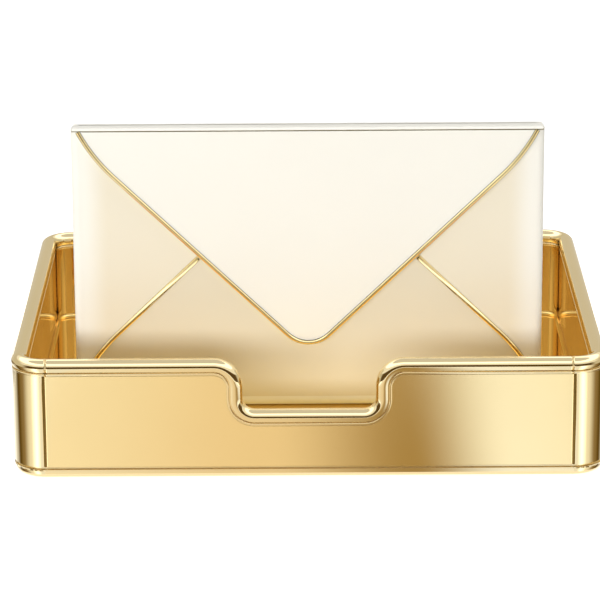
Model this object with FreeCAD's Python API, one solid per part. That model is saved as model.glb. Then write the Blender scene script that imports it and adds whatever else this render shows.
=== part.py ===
import FreeCAD, Part
import math
import os

# A desk tray with an envelope standing in it. Sizes are in millimetres.
# +Z is up, +X is to the right as seen from the front, and the front wall faces -Y.
# The origin is on the table, under the middle of the tray.

# ---- Tray ----
TRAY_WIDTH = 270.0            # over the outer faces of the side walls
TRAY_DEPTH = 217.0            # over the outer faces of the front and back walls
TRAY_HEIGHT = 57.1            # from the table to the top of the rim bead
CORNER_RADIUS = 15.0          # outer radius of the four upright corners
WALL_THICKNESS = 6.9          # outer skin, hollow and inner skin together
SKIN = 1.2                    # sheet of the outer walls and of the liner
SEAT_GAP = 0.05               # gap where one piece slips inside another

# ---- Base pan, feet and what holds the liner down ----
FOOT_THICKNESS = 0.6          # thin pads, stuck on under the pan
FOOT_SIZE = 16.0
FOOT_CORNER_CUT = 2.0
FOOT_INSET = 27.0             # from the outer faces of the walls to a foot's centre
PAN_FLOOR = 1.6
PAN_HEIGHT = 5.2
PAN_EDGE_RADIUS = 5.0         # the rounded lower edge of the tray
LIP_THICKNESS = 1.2           # upstand of the pan, behind the outer walls
LIP_HEIGHT = 3.0
STANDOFF_WIDTH = 8.0          # hexagonal pillars, across the flats
STANDOFF_INSET_X = 42.0       # from the outer faces of the walls to a standoff's axis
STANDOFF_INSET_Y = 30.0
SCREW_RADIUS = 1.5
SCREW_HOLE_GAP = 0.1          # round the screw, in the pan
SCREW_HEAD_RADIUS = 2.8
SCREW_HEAD_HEIGHT = 1.4
SCREW_LENGTH = 7.0
SCREW_END_GAP = 0.6           # left in the standoff's blind hole
SCREW_SLOT_WIDTH = 0.7
SCREW_SLOT_DEPTH = 0.6

# ---- Liner: the inner skin with the raised floor ----
FLOOR_TOP = 13.1              # height of the raised floor's upper face
COVE_RADIUS = 2.0             # between the raised floor and the inner skin

# ---- Corner posts ----
FLANGE_THICKNESS = 1.2        # strips inside a post, which lap behind the walls
FLANGE_LAP = 6.0
FLANGE_ROOT = 3.0             # how far a strip reaches into the post, where it is welded
FLANGE_END_GAP = 0.3          # to the pan's lip below and the rim's tongue above

# ---- Rim moulding: a round bead on a short skirt, with a tongue between the skins ----
BEAD_RADIUS = 3.8
SKIRT_PROUD = 0.15            # how far the skirt stands out from each skin
SKIRT_DROP = 3.3              # from the bead's centre to the skirt's lower face
TONGUE_DROP = 4.0             # from the skirt's lower face to the tongue's end

# ---- Dip in the middle of the front wall, measured on the bead's centre line ----
DIP_HALF_WIDTH = 34.0
DIP_DEPTH = 24.1
DIP_BEND_RADIUS = 9.3

# ---- Envelope: a flat case with a hinged flap ----
ENVELOPE_WIDTH = 219.0
ENVELOPE_HEIGHT = 135.8
ENVELOPE_DEPTH = 10.4         # from the flap's face to the back
ENVELOPE_SETBACK = 64.1       # from the front wall's outer face to the flap's face
CASE_SKIN = 1.2
CASE_EDGE_RADIUS = 3.5        # rounded upright and lower edges
CASE_LIP = 5.0                # frame left round the front, outside the front panels
FLAP_GAP = 0.1                # between the closed flap and the case's front
FLAP_TOP_GAP = 0.5            # between the closed flap's top strip and the case's rim

# ---- Folds on the envelope's front ----
FLAP_APEX = 26.6              # where the flap's straight edges would meet, above the bottom
FLAP_ANGLE = 43.7             # of those edges to the horizontal, in degrees
FLAP_TIP_RADIUS = 14.0
FLAP_END_X = 106.1            # half width of the flap where it meets the top edge
SEAM_APEX = 122.6             # where the two seams would meet, above the bottom
SEAM_ANGLE = 44.0
SEAM_END_X = 104.3            # half width between the seams' lower ends
FOLD_BEND_X = 90.0            # where the straight part of a fold ends
FOLD_FLARE_RADIUS = 80.0      # of the curve from there to the corner
THROAT_MARGIN = 12.5          # how far the flap laps over the side panels' upper edges
THROAT_CROWN = 8.0            # rise of the bottom panel's upper edge in the middle
FLAP_BEAD_RADIUS = 1.1
SEAM_BEAD_RADIUS = 1.2
SEAM_BEAD_GAP = 0.5           # from the flap's edge to the upper end of a seam bead

# ---- Flap hinge, along the back of the top edge ----
FLAP_SKIN = 1.2
FLAP_FOLD_RADIUS = 1.8        # outside, where the flap turns down over the front
FLAP_END_RADIUS = 1.0
BARREL_RADIUS = 1.6
ROD_RADIUS = 0.8
ROD_GAP = 0.05
ROD_END_INSET = 0.4           # from the rod's ends to the ears' outer ends
EAR_LENGTH = 2.2
EAR_LAP = 0.2                 # how far an ear reaches into the side wall
EAR_END_GAP = 0.3             # between the barrel's ends and the ears
EAR_ROOT = 5.0                # how far an ear reaches down the side wall
BARREL_CLEARANCE = 0.2        # round the turning barrel

# ---- Bar and pins that keep the envelope upright ----
BAR_WIDTH = 180.0
BAR_HEIGHT = 12.0
BAR_GAP = 0.05                # each side, in the case
PIN_RADIUS = 2.0
PIN_GAP = 0.05
PIN_RISE = 8.5                # above the raised floor
PIN_POINT = 0.6               # chamfer of the pin's top
PIN_HEAD_RADIUS = 3.5
PIN_HEAD_HEIGHT = 1.2
PIN_SPACING = 140.0
SOCKET_SPARE = 0.8            # left above the pin in its socket

# ---- Places that follow from the sizes above ----
HALF_WIDTH = TRAY_WIDTH / 2
HALF_DEPTH = TRAY_DEPTH / 2
BEAD_INSET = WALL_THICKNESS / 2
BEAD_Z = TRAY_HEIGHT - BEAD_RADIUS
WALL_TOP = BEAD_Z - SKIRT_DROP
PAN_BOTTOM = FOOT_THICKNESS
PAN_TOP = PAN_BOTTOM + PAN_HEIGHT
LIP_INSET = SKIN + SEAT_GAP
PAN_WALL = LIP_INSET + LIP_THICKNESS
LINER_INSET = WALL_THICKNESS - SKIN
LINER_BOTTOM = FLOOR_TOP - SKIN
FLAP_FACE_Y = -HALF_DEPTH + ENVELOPE_SETBACK
CASE_FRONT_Y = FLAP_FACE_Y + FLAP_SKIN + FLAP_GAP
CASE_BACK_Y = FLAP_FACE_Y + ENVELOPE_DEPTH
CASE_MID_Y = (CASE_FRONT_Y + CASE_BACK_Y) / 2
CASE_DEPTH = CASE_BACK_Y - CASE_FRONT_Y
CASE_BOTTOM = FLOOR_TOP
CASE_TOP = CASE_BOTTOM + ENVELOPE_HEIGHT - FLAP_SKIN - FLAP_TOP_GAP
ENVELOPE_TOP = CASE_BOTTOM + ENVELOPE_HEIGHT
HINGE_Y = CASE_BACK_Y - BARREL_RADIUS
HINGE_Z = ENVELOPE_TOP - BARREL_RADIUS
EAR_OUTER_X = ENVELOPE_WIDTH / 2 - CASE_SKIN + EAR_LAP
EAR_INNER_X = EAR_OUTER_X - EAR_LENGTH
BARREL_HALF = EAR_INNER_X - EAR_END_GAP
OVER = 1.0                    # how far a cutting tool runs past what it cuts

X_AXIS = FreeCAD.Vector(1, 0, 0)
Y_AXIS = FreeCAD.Vector(0, 1, 0)
Z_AXIS = FreeCAD.Vector(0, 0, 1)


def point(x, y, z):
    return FreeCAD.Vector(x, y, z)


def box(x0, x1, y0, y1, z0, z1):
    return Part.makeBox(x1 - x0, y1 - y0, z1 - z0, point(x0, y0, z0))


def disc(radius, height, x, y, z):
    return Part.makeCylinder(radius, height, point(x, y, z), Z_AXIS)


def cross_rod(radius, x0, x1, y, z):
    return Part.makeCylinder(radius, x1 - x0, point(x0, y, z), X_AXIS)


def fused(pieces):
    return pieces[0].multiFuse(pieces[1:]).removeSplitter()


def edges_where(shape, test):
    """The edges whose bounding box passes the test."""
    return [edge for edge in shape.Edges if test(edge.BoundBox)]


def upright(bounds):
    return bounds.XLength < 1e-3 and bounds.YLength < 1e-3


def lying_at(z):
    return lambda bounds: abs(bounds.ZMin - z) < 1e-3 and abs(bounds.ZMax - z) < 1e-3


def rounded_block(inset, z0, z1, bottom_radius=0.0):
    """The tray's plan, moved inwards by inset, as a block; its lower edge may be rounded."""
    x, y = HALF_WIDTH - inset, HALF_DEPTH - inset
    block = box(-x, x, -y, y, z0, z1)
    block = block.makeFillet(CORNER_RADIUS - inset, edges_where(block, upright))
    if bottom_radius > 0:
        block = block.makeFillet(bottom_radius, edges_where(block, lying_at(z0)))
    return block


def grid(x, y):
    """Four points, one in each quarter of the tray."""
    return [(sx * x, sy * y) for sy in (-1, 1) for sx in (-1, 1)]


# ---------------------------------------------------------------- base

def standoff_points():
    return grid(HALF_WIDTH - STANDOFF_INSET_X, HALF_DEPTH - STANDOFF_INSET_Y)


def base_pan():
    """Cast pan with a rounded lower edge and an upstand that the walls fit round."""
    pan = rounded_block(0, PAN_BOTTOM, PAN_TOP, PAN_EDGE_RADIUS)
    lip = rounded_block(LIP_INSET, PAN_BOTTOM + PAN_FLOOR, PAN_TOP + LIP_HEIGHT)
    inside = rounded_block(PAN_EDGE_RADIUS, PAN_BOTTOM + PAN_FLOOR, PAN_TOP)
    inside_lip = rounded_block(PAN_WALL, PAN_TOP, PAN_TOP + LIP_HEIGHT + OVER)
    holes = []
    for x, y in standoff_points():
        holes.append(disc(SCREW_RADIUS + SCREW_HOLE_GAP, PAN_FLOOR, x, y, PAN_BOTTOM))
        holes.append(screw_head(x, y))
    return fused([pan, lip]).cut([inside, inside_lip] + holes)


def foot(x, y):
    half = FOOT_SIZE / 2
    pad = box(x - half, x + half, y - half, y + half, 0, FOOT_THICKNESS)
    return pad.makeChamfer(FOOT_CORNER_CUT, edges_where(pad, upright))


def screw_head(x, y):
    return Part.makeCone(SCREW_HEAD_RADIUS, SCREW_RADIUS, SCREW_HEAD_HEIGHT,
                         point(x, y, PAN_BOTTOM), Z_AXIS)


def base_screws():
    """Four countersunk screws with a slot, from below."""
    screws = []
    for x, y in standoff_points():
        shank = disc(SCREW_RADIUS, SCREW_LENGTH, x, y, PAN_BOTTOM)
        slot = box(x - SCREW_HEAD_RADIUS, x + SCREW_HEAD_RADIUS, y - SCREW_SLOT_WIDTH / 2,
                   y + SCREW_SLOT_WIDTH / 2, PAN_BOTTOM, PAN_BOTTOM + SCREW_SLOT_DEPTH)
        screws.append(fused([shank, screw_head(x, y)]).cut(slot))
    return Part.makeCompound(screws)


def liner_standoffs():
    """Four hexagonal pillars between the pan and the liner, with blind holes for the screws."""
    pillars = []
    bottom = PAN_BOTTOM + PAN_FLOOR
    hole_top = PAN_BOTTOM + SCREW_LENGTH + SCREW_END_GAP
    reach = STANDOFF_WIDTH / math.sqrt(3)
    turns = [math.radians(60 * i) for i in range(7)]
    for x, y in standoff_points():
        corners = [point(x + reach * math.cos(a), y + reach * math.sin(a), bottom) for a in turns]
        pillar = Part.Face(Part.makePolygon(corners)).extrude(Z_AXIS * (LINER_BOTTOM - bottom))
        pillars.append(pillar.cut(disc(SCREW_RADIUS, hole_top - bottom, x, y, bottom)))
    return Part.makeCompound(pillars)


# ---------------------------------------------------------------- walls

def dip_cutter(drop, y0, y1):
    """What the dip takes out of a wall: the space above the rim's line moved down by drop."""
    top = TRAY_HEIGHT + OVER
    shoulder_x = DIP_HALF_WIDTH + DIP_BEND_RADIUS
    shoulder_z = BEAD_Z - DIP_BEND_RADIUS
    foot_x = DIP_HALF_WIDTH - DIP_BEND_RADIUS
    foot_z = BEAD_Z - DIP_DEPTH + DIP_BEND_RADIUS
    inner = DIP_BEND_RADIUS - drop
    outer = DIP_BEND_RADIUS + drop
    half = math.sqrt(0.5)

    def arc(side, cx, cz, radius, angles):
        ends = [point(side * (cx + radius * a), y0, cz + radius * b) for a, b in angles]
        return Part.Arc(*ends).toShape()

    edges = []
    for side in (-1, 1):
        start = point(side * shoulder_x, y0, top)
        edges.append(Part.makeLine(start, point(side * shoulder_x, y0, BEAD_Z - drop)))
        edges.append(arc(side, shoulder_x, shoulder_z, inner, [(0, 1), (-half, half), (-1, 0)]))
        edges.append(Part.makeLine(point(side * (DIP_HALF_WIDTH + drop), y0, shoulder_z),
                                   point(side * (DIP_HALF_WIDTH + drop), y0, foot_z)))
        edges.append(arc(side, foot_x, foot_z, outer, [(1, 0), (half, -half), (0, -1)]))
    low = BEAD_Z - DIP_DEPTH - drop
    edges.append(Part.makeLine(point(-foot_x, y0, low), point(foot_x, y0, low)))
    edges.append(Part.makeLine(point(-shoulder_x, y0, top), point(shoulder_x, y0, top)))
    outline = Part.Wire(Part.__sortEdges__(edges))
    return Part.Face(outline).extrude(point(0, y1 - y0, 0))


def front_wall():
    x = HALF_WIDTH - CORNER_RADIUS
    panel = box(-x, x, -HALF_DEPTH, -HALF_DEPTH + SKIN, PAN_TOP, WALL_TOP)
    return panel.cut(dip_cutter(SKIRT_DROP, -HALF_DEPTH - OVER, -HALF_DEPTH + SKIN + OVER))


def back_wall():
    x = HALF_WIDTH - CORNER_RADIUS
    return box(-x, x, HALF_DEPTH - SKIN, HALF_DEPTH, PAN_TOP, WALL_TOP)


def side_wall(side):
    y = HALF_DEPTH - CORNER_RADIUS
    outer, inner = side * HALF_WIDTH, side * (HALF_WIDTH - SKIN)
    return box(min(outer, inner), max(outer, inner), -y, y, PAN_TOP, WALL_TOP)


def quarter_ring(outer, inner, z0, z1, cx, cy, side_x, side_y):
    """A quarter of an upright ring round (cx, cy), on the side named by two signs."""
    ring = disc(outer, z1 - z0, cx, cy, z0).cut(disc(inner, z1 - z0, cx, cy, z0))
    x_far, y_far = cx + side_x * outer, cy + side_y * outer
    return ring.common(box(min(cx, x_far), max(cx, x_far), min(cy, y_far), max(cy, y_far), z0, z1))


def corner_post(side_x, side_y):
    """Quarter-round post with a strip inside each upright edge, which laps behind the wall there."""
    cx = side_x * (HALF_WIDTH - CORNER_RADIUS)
    cy = side_y * (HALF_DEPTH - CORNER_RADIUS)
    z0 = PAN_TOP + LIP_HEIGHT + FLANGE_END_GAP
    z1 = WALL_TOP - TONGUE_DROP - FLANGE_END_GAP
    near = CORNER_RADIUS - SKIN - SEAT_GAP
    far = near - FLANGE_THICKNESS
    skin = quarter_ring(CORNER_RADIUS, CORNER_RADIUS - SKIN, PAN_TOP, WALL_TOP,
                        cx, cy, side_x, side_y)
    ys = sorted((cy + side_y * near, cy + side_y * far))
    xs = sorted((cx + side_x * near, cx + side_x * far))
    across = sorted((cx + side_x * FLANGE_ROOT, cx - side_x * FLANGE_LAP))
    along = sorted((cy + side_y * FLANGE_ROOT, cy - side_y * FLANGE_LAP))
    flange_front = box(across[0], across[1], ys[0], ys[1], z0, z1)
    flange_side = box(xs[0], xs[1], along[0], along[1], z0, z1)
    return fused([skin, flange_front, flange_side])


def inner_liner():
    """Liner in one piece: the raised floor, the cove round it and the inner skin of the walls."""
    outside = rounded_block(LINER_INSET, LINER_BOTTOM, WALL_TOP)
    inside = rounded_block(WALL_THICKNESS, FLOOR_TOP, WALL_TOP + OVER, COVE_RADIUS)
    cutter = dip_cutter(SKIRT_DROP, -HALF_DEPTH, -HALF_DEPTH + WALL_THICKNESS + OVER)
    holes = [disc(PIN_RADIUS, SKIN, x, y, LINER_BOTTOM) for x, y in pin_points()]
    return outside.cut(inside).cut([cutter] + holes)


# ---------------------------------------------------------------- rim

def rim_sections(origin, outward, up):
    """The moulding's two sections: a bead with a skirt under it, and a tongue between the skins."""
    skirt = WALL_THICKNESS / 2 + SKIRT_PROUD
    tongue = WALL_THICKNESS / 2 - SKIN - SEAT_GAP
    waist = -math.sqrt(BEAD_RADIUS ** 2 - skirt ** 2)

    def at(u, v):
        return origin + outward * u + up * v

    edges = [Part.makeLine(at(skirt, waist), at(skirt, -SKIRT_DROP)),
             Part.makeLine(at(skirt, -SKIRT_DROP), at(-skirt, -SKIRT_DROP)),
             Part.makeLine(at(-skirt, -SKIRT_DROP), at(-skirt, waist)),
             Part.Arc(at(-skirt, waist), at(0, BEAD_RADIUS), at(skirt, waist)).toShape()]
    low = -SKIRT_DROP - TONGUE_DROP
    corners = [at(tongue, -SKIRT_DROP), at(tongue, low), at(-tongue, low), at(-tongue, -SKIRT_DROP)]
    strip = Part.makePolygon(corners + corners[:1])
    return Part.Face(Part.Wire(edges)), Part.Face(strip)


def follow(face, steps, turns=True):
    """Carries a section along runs and turns. A run is a vector; a turn is centre, axis, degrees.
    Without turns the section is left out of the bends, and only the runs are returned."""
    pieces = []
    for step in steps:
        if isinstance(step, tuple):
            centre, axis, degrees = step
            if turns:
                pieces.append(face.revolve(centre, axis, degrees))
            face = face.copy()
            face.rotate(centre, axis, degrees)
        else:
            pieces.append(face.extrude(step))
            face = face.translated(step)
    return pieces


def rim_length(start, outward, steps):
    """One length of the moulding. Its tongue is notched out at the bends, so that it can be bent."""
    bead, tongue = rim_sections(start, outward, Z_AXIS)
    return fused(follow(bead, steps) + follow(tongue, steps, turns=False))


def rim_front():
    """The front length, which goes down into the dip, across and up again."""
    y = -HALF_DEPTH + BEAD_INSET
    end_x = HALF_WIDTH - CORNER_RADIUS
    shoulder_x = DIP_HALF_WIDTH + DIP_BEND_RADIUS
    foot_x = DIP_HALF_WIDTH - DIP_BEND_RADIUS
    shoulder_z = BEAD_Z - DIP_BEND_RADIUS
    foot_z = BEAD_Z - DIP_DEPTH + DIP_BEND_RADIUS
    upright_run = point(0, 0, shoulder_z - foot_z)
    straight = X_AXIS * (end_x - shoulder_x)
    steps = [straight,
             (point(-shoulder_x, y, shoulder_z), Y_AXIS, 90),
             -upright_run,
             (point(-foot_x, y, foot_z), -Y_AXIS, 90),
             X_AXIS * (2 * foot_x),
             (point(foot_x, y, foot_z), -Y_AXIS, 90),
             upright_run,
             (point(shoulder_x, y, shoulder_z), Y_AXIS, 90),
             straight]
    return rim_length(point(-end_x, y, BEAD_Z), -Y_AXIS, steps)


def rim_back():
    end_x = HALF_WIDTH - CORNER_RADIUS
    start = point(-end_x, HALF_DEPTH - BEAD_INSET, BEAD_Z)
    return rim_length(start, Y_AXIS, [X_AXIS * (2 * end_x)])


def rim_side(side):
    """A side length with its two corners, which meets the front and back lengths at the posts."""
    x, y = HALF_WIDTH - CORNER_RADIUS, HALF_DEPTH - CORNER_RADIUS
    start = point(side * x, -HALF_DEPTH + BEAD_INSET, BEAD_Z)
    corners = [(point(side * x, end * y, BEAD_Z), Z_AXIS * side, 90) for end in (-1, 1)]
    return rim_length(start, -Y_AXIS, [corners[0], Y_AXIS * (2 * y), corners[1]])


# ---------------------------------------------------------------- envelope: folds

def arc_point(centre, radius, heading):
    """A point on a curve that runs outwards and steepens, by its heading to the horizontal."""
    return centre[0] + radius * math.sin(heading), centre[1] - radius * math.cos(heading)


def fold_points(apex, degrees, end_x, out):
    """Bend, middle and end of a fold's flared part, for a fold that rises outwards from apex.
    out moves the line away from the flare's centre."""
    angle = math.radians(degrees)
    bend_z = apex + FOLD_BEND_X * math.tan(angle)
    centre = (FOLD_BEND_X - FOLD_FLARE_RADIUS * math.sin(angle),
              bend_z + FOLD_FLARE_RADIUS * math.cos(angle))
    radius = FOLD_FLARE_RADIUS + out
    last = math.asin((end_x - centre[0]) / radius)
    return [arc_point(centre, radius, h) for h in (angle, (angle + last) / 2, last)]


def flap_line(out):
    """The flap's edge from its middle to the right end: tip, tip's end, bend, middle, end."""
    angle = math.radians(FLAP_ANGLE)
    centre = (0.0, FLAP_APEX + FLAP_TIP_RADIUS / math.cos(angle))
    radius = FLAP_TIP_RADIUS + out
    tip = [arc_point(centre, radius, h) for h in (0.0, angle)]
    return tip + fold_points(FLAP_APEX, FLAP_ANGLE, FLAP_END_X + out, out)


def seam_height(x):
    """Height of the seam's straight part at half width x."""
    return SEAM_APEX - x * math.tan(math.radians(SEAM_ANGLE))


def seam_flare(end_x):
    """Bend, middle and end of the right-hand seam's flared part, down to half width end_x."""
    return [(x, -z) for x, z in fold_points(-SEAM_APEX, SEAM_ANGLE, end_x, 0)]


def crossing_x(rise):
    """Half width where the seam is this much higher than the flap's straight edge."""
    slopes = math.tan(math.radians(FLAP_ANGLE)) + math.tan(math.radians(SEAM_ANGLE))
    return (SEAM_APEX - FLAP_APEX - rise) / slopes


def throat_start():
    """Where the side panels' upper edge meets the seam, on the right."""
    x = crossing_x(THROAT_MARGIN)
    return x, seam_height(x)


def front_point(side, place, y):
    """A point of the envelope's front, from its distance to the middle and to the bottom."""
    return point(side * place[0], y, CASE_BOTTOM + place[1])


def front_line(a, b, side, y):
    return Part.makeLine(front_point(side, a, y), front_point(side, b, y))


def front_arc(a, b, c, side, y):
    return Part.Arc(front_point(side, a, y), front_point(side, b, y), front_point(side, c, y)).toShape()


def plate(edges, thickness):
    return Part.Face(Part.Wire(Part.__sortEdges__(edges))).extrude(Y_AXIS * thickness)


# ---------------------------------------------------------------- envelope: case

def case_block(z1):
    """The case's outer form, with rounded upright and lower edges."""
    x = ENVELOPE_WIDTH / 2
    block = box(-x, x, CASE_FRONT_Y, CASE_BACK_Y, CASE_BOTTOM, z1)
    rounded = edges_where(block, upright) + edges_where(block, lying_at(CASE_BOTTOM))
    return block.makeFillet(CASE_EDGE_RADIUS, rounded)


def panel_limit():
    """Half width of the front opening that the front panels fill."""
    return ENVELOPE_WIDTH / 2 - CASE_LIP


def case_shell():
    """Back, sides and bottom in one piece, open at the top, with a frame round the front."""
    x = panel_limit()
    hollow = box(CASE_SKIN - ENVELOPE_WIDTH / 2, ENVELOPE_WIDTH / 2 - CASE_SKIN, CASE_FRONT_Y + CASE_SKIN,
                 CASE_BACK_Y - CASE_SKIN, CASE_BOTTOM + CASE_SKIN, CASE_TOP + OVER)
    hollow = hollow.makeFillet(CASE_EDGE_RADIUS - CASE_SKIN, edges_where(hollow, upright))
    shell = case_block(CASE_TOP).cut(hollow)
    front = box(-x, x, CASE_FRONT_Y - OVER, CASE_FRONT_Y + CASE_SKIN,
                CASE_BOTTOM + CASE_LIP, CASE_TOP + OVER)
    barrel_room = box(-EAR_INNER_X, EAR_INNER_X, HINGE_Y - BARREL_RADIUS - BARREL_CLEARANCE,
                      CASE_BACK_Y + OVER, HINGE_Z - BARREL_RADIUS - BARREL_CLEARANCE, ENVELOPE_TOP)
    ears = []
    for x0, x1 in ((EAR_INNER_X, EAR_OUTER_X), (-EAR_OUTER_X, -EAR_INNER_X)):
        ears.append(cross_rod(BARREL_RADIUS, x0, x1, HINGE_Y, HINGE_Z))
        ears.append(box(x0, x1, HINGE_Y - BARREL_RADIUS, CASE_BACK_Y, HINGE_Z - EAR_ROOT, HINGE_Z))
    ears = [ear.common(case_block(ENVELOPE_TOP)) for ear in ears]
    sockets = [disc(PIN_RADIUS + PIN_GAP, CASE_SKIN, x, y, CASE_BOTTOM) for x, y in pin_points()]
    shell = fused([shell.cut([front, barrel_room])] + ears)
    return shell.cut([cross_rod(ROD_RADIUS, -rod_half(), rod_half(), HINGE_Y, HINGE_Z)] + sockets)


def rod_half():
    return EAR_OUTER_X - ROD_END_INSET


def flap_hinge_rod():
    return cross_rod(ROD_RADIUS, -rod_half(), rod_half(), HINGE_Y, HINGE_Z)


def side_panel(side):
    """Triangular front panel beside the bottom panel, from the seam up to the throat."""
    y = CASE_FRONT_Y
    limit = panel_limit()
    top = CASE_TOP - CASE_BOTTOM
    start = throat_start()
    bend, middle, end = seam_flare(limit)
    corner_x = start[0] + (top - start[1]) / math.tan(math.radians(FLAP_ANGLE))
    corner_x = min(corner_x, limit - CASE_SKIN)
    outline = [front_line(start, bend, side, y),
               front_arc(bend, middle, end, side, y),
               front_line(end, (limit, top), side, y),
               front_line((limit, top), (corner_x, top), side, y),
               front_line((corner_x, top), start, side, y)]
    return plate(outline, CASE_SKIN)


def bottom_panel():
    """Front panel between the two seams, with a crowned upper edge under the flap."""
    y = CASE_FRONT_Y
    limit = panel_limit()
    start = throat_start()
    bend, middle, end = seam_flare(limit)
    low = (limit, CASE_LIP)
    outline = [front_line((-limit, CASE_LIP), low, 1, y),
               Part.Arc(front_point(-1, start, y), front_point(1, (0, start[1] + THROAT_CROWN), y),
                        front_point(1, start, y)).toShape()]
    for side in (-1, 1):
        outline.append(front_line(low, end, side, y))
        outline.append(front_arc(end, middle, bend, side, y))
        outline.append(front_line(bend, start, side, y))
    return plate(outline, CASE_SKIN)


def half_round(origin, across, radius):
    """Half-round section with its flat side on the front and its round side towards -Y."""
    ends = (origin - across * radius, origin + across * radius)
    arc = Part.Arc(ends[0], origin - Y_AXIS * radius, ends[1]).toShape()
    return Part.Face(Part.Wire([arc, Part.makeLine(ends[1], ends[0])]))


def bead_along(line, radius, y):
    """Half-round bead along straight parts and flared arcs, given as right-hand places."""
    start, bend, middle, end = [front_point(1, place, y) for place in line]
    run = bend - start
    across = run.cross(Y_AXIS).normalize()
    flare = Part.Arc(bend, middle, end).toShape()
    turn = math.degrees(flare.Length / flare.Curve.Radius)
    axis = (middle - bend).cross(end - middle).normalize()
    return fused(follow(half_round(start, across, radius), [run, (flare.Curve.Center, axis, turn)]))


def seam_bead(side):
    """Raised bead over the joint between a side panel and the bottom panel."""
    clear = (FLAP_BEAD_RADIUS + SEAM_BEAD_GAP) * math.cos(math.radians(SEAM_ANGLE))
    start_x = crossing_x(0) + clear
    line = [(start_x, seam_height(start_x))] + seam_flare(SEAM_END_X)
    bead = bead_along(line, SEAM_BEAD_RADIUS, CASE_FRONT_Y)
    return bead if side > 0 else bead.mirror(point(0, 0, 0), X_AXIS)


def mounting_bar():
    """Bar inside the bottom of the case, with the two sockets for the pins."""
    depth = CASE_DEPTH / 2 - CASE_SKIN - BAR_GAP
    z0 = CASE_BOTTOM + CASE_SKIN
    bar = box(-BAR_WIDTH / 2, BAR_WIDTH / 2, CASE_MID_Y - depth, CASE_MID_Y + depth, z0, z0 + BAR_HEIGHT)
    height = PIN_RISE + SOCKET_SPARE - CASE_SKIN
    return bar.cut([disc(PIN_RADIUS + PIN_GAP, height, x, y, z0) for x, y in pin_points()])


def pin_points():
    return [(side * PIN_SPACING / 2, CASE_MID_Y) for side in (-1, 1)]


def locating_pin(x, y):
    """Pin that stands up from the raised floor, with its head under the floor."""
    shank = disc(PIN_RADIUS, SKIN + PIN_RISE - PIN_POINT, x, y, LINER_BOTTOM)
    end = Part.makeCone(PIN_RADIUS, PIN_RADIUS - PIN_POINT, PIN_POINT,
                        point(x, y, FLOOR_TOP + PIN_RISE - PIN_POINT), Z_AXIS)
    shank = fused([shank, end])
    return fused([shank, disc(PIN_HEAD_RADIUS, PIN_HEAD_HEIGHT, x, y, LINER_BOTTOM - PIN_HEAD_HEIGHT)])


# ---------------------------------------------------------------- envelope: flap

def flap_top():
    """The flap's top strip with its folded front edge, as one section run across the envelope."""
    x0 = -ENVELOPE_WIDTH / 2
    fold_z = ENVELOPE_TOP - FLAP_FOLD_RADIUS
    fold_y = FLAP_FACE_Y + FLAP_FOLD_RADIUS
    inner = FLAP_FOLD_RADIUS - FLAP_SKIN
    half = math.sqrt(0.5)

    def at(y, z):
        return point(x0, y, z)

    def arc(radius):
        return Part.Arc(at(fold_y - radius, fold_z),
                        at(fold_y - radius * half, fold_z + radius * half),
                        at(fold_y, fold_z + radius)).toShape()

    edges = [arc(FLAP_FOLD_RADIUS),
             Part.makeLine(at(fold_y, ENVELOPE_TOP), at(HINGE_Y, ENVELOPE_TOP)),
             Part.makeLine(at(HINGE_Y, ENVELOPE_TOP), at(HINGE_Y, ENVELOPE_TOP - FLAP_SKIN)),
             Part.makeLine(at(HINGE_Y, ENVELOPE_TOP - FLAP_SKIN), at(fold_y, ENVELOPE_TOP - FLAP_SKIN)),
             arc(inner),
             Part.makeLine(at(fold_y - inner, fold_z), at(FLAP_FACE_Y, fold_z))]
    strip = Part.Face(Part.Wire(Part.__sortEdges__(edges))).extrude(X_AXIS * ENVELOPE_WIDTH)
    ends = edges_where(strip, lambda b: b.XLength < 1e-3 and lying_at(ENVELOPE_TOP)(b))
    return strip.makeFillet(FLAP_END_RADIUS, ends)


def flap_panel():
    """The flap: the pointed front, the top strip and the hinge barrel in one bent sheet."""
    y = FLAP_FACE_Y
    tip, tip_end, bend, middle, end = flap_line(FLAP_BEAD_RADIUS)
    top = ENVELOPE_HEIGHT
    outline = [Part.Arc(front_point(-1, tip_end, y), front_point(1, tip, y),
                        front_point(1, tip_end, y)).toShape(),
               front_line((-end[0], top), (end[0], top), 1, y)]
    for side in (-1, 1):
        outline.append(front_line(tip_end, bend, side, y))
        outline.append(front_arc(bend, middle, end, side, y))
        outline.append(front_line(end, (end[0], top), side, y))
    front = plate(outline, FLAP_SKIN)
    fold_z = ENVELOPE_TOP - FLAP_FOLD_RADIUS
    wide = ENVELOPE_WIDTH
    front = front.cut(box(-wide, wide, y - OVER, y + FLAP_SKIN + OVER, fold_z, ENVELOPE_TOP + OVER))
    barrel = cross_rod(BARREL_RADIUS, -BARREL_HALF, BARREL_HALF, HINGE_Y, HINGE_Z)
    notch_y = HINGE_Y - BARREL_RADIUS - EAR_END_GAP
    strip = flap_top()
    for x0, x1 in ((BARREL_HALF, wide), (-wide, -BARREL_HALF)):
        strip = strip.cut(box(x0, x1, notch_y, CASE_BACK_Y + OVER, CASE_TOP, ENVELOPE_TOP + OVER))
    bore = cross_rod(ROD_RADIUS + ROD_GAP, -wide, wide, HINGE_Y, HINGE_Z)
    return fused([front, strip, barrel]).cut(bore)


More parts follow.
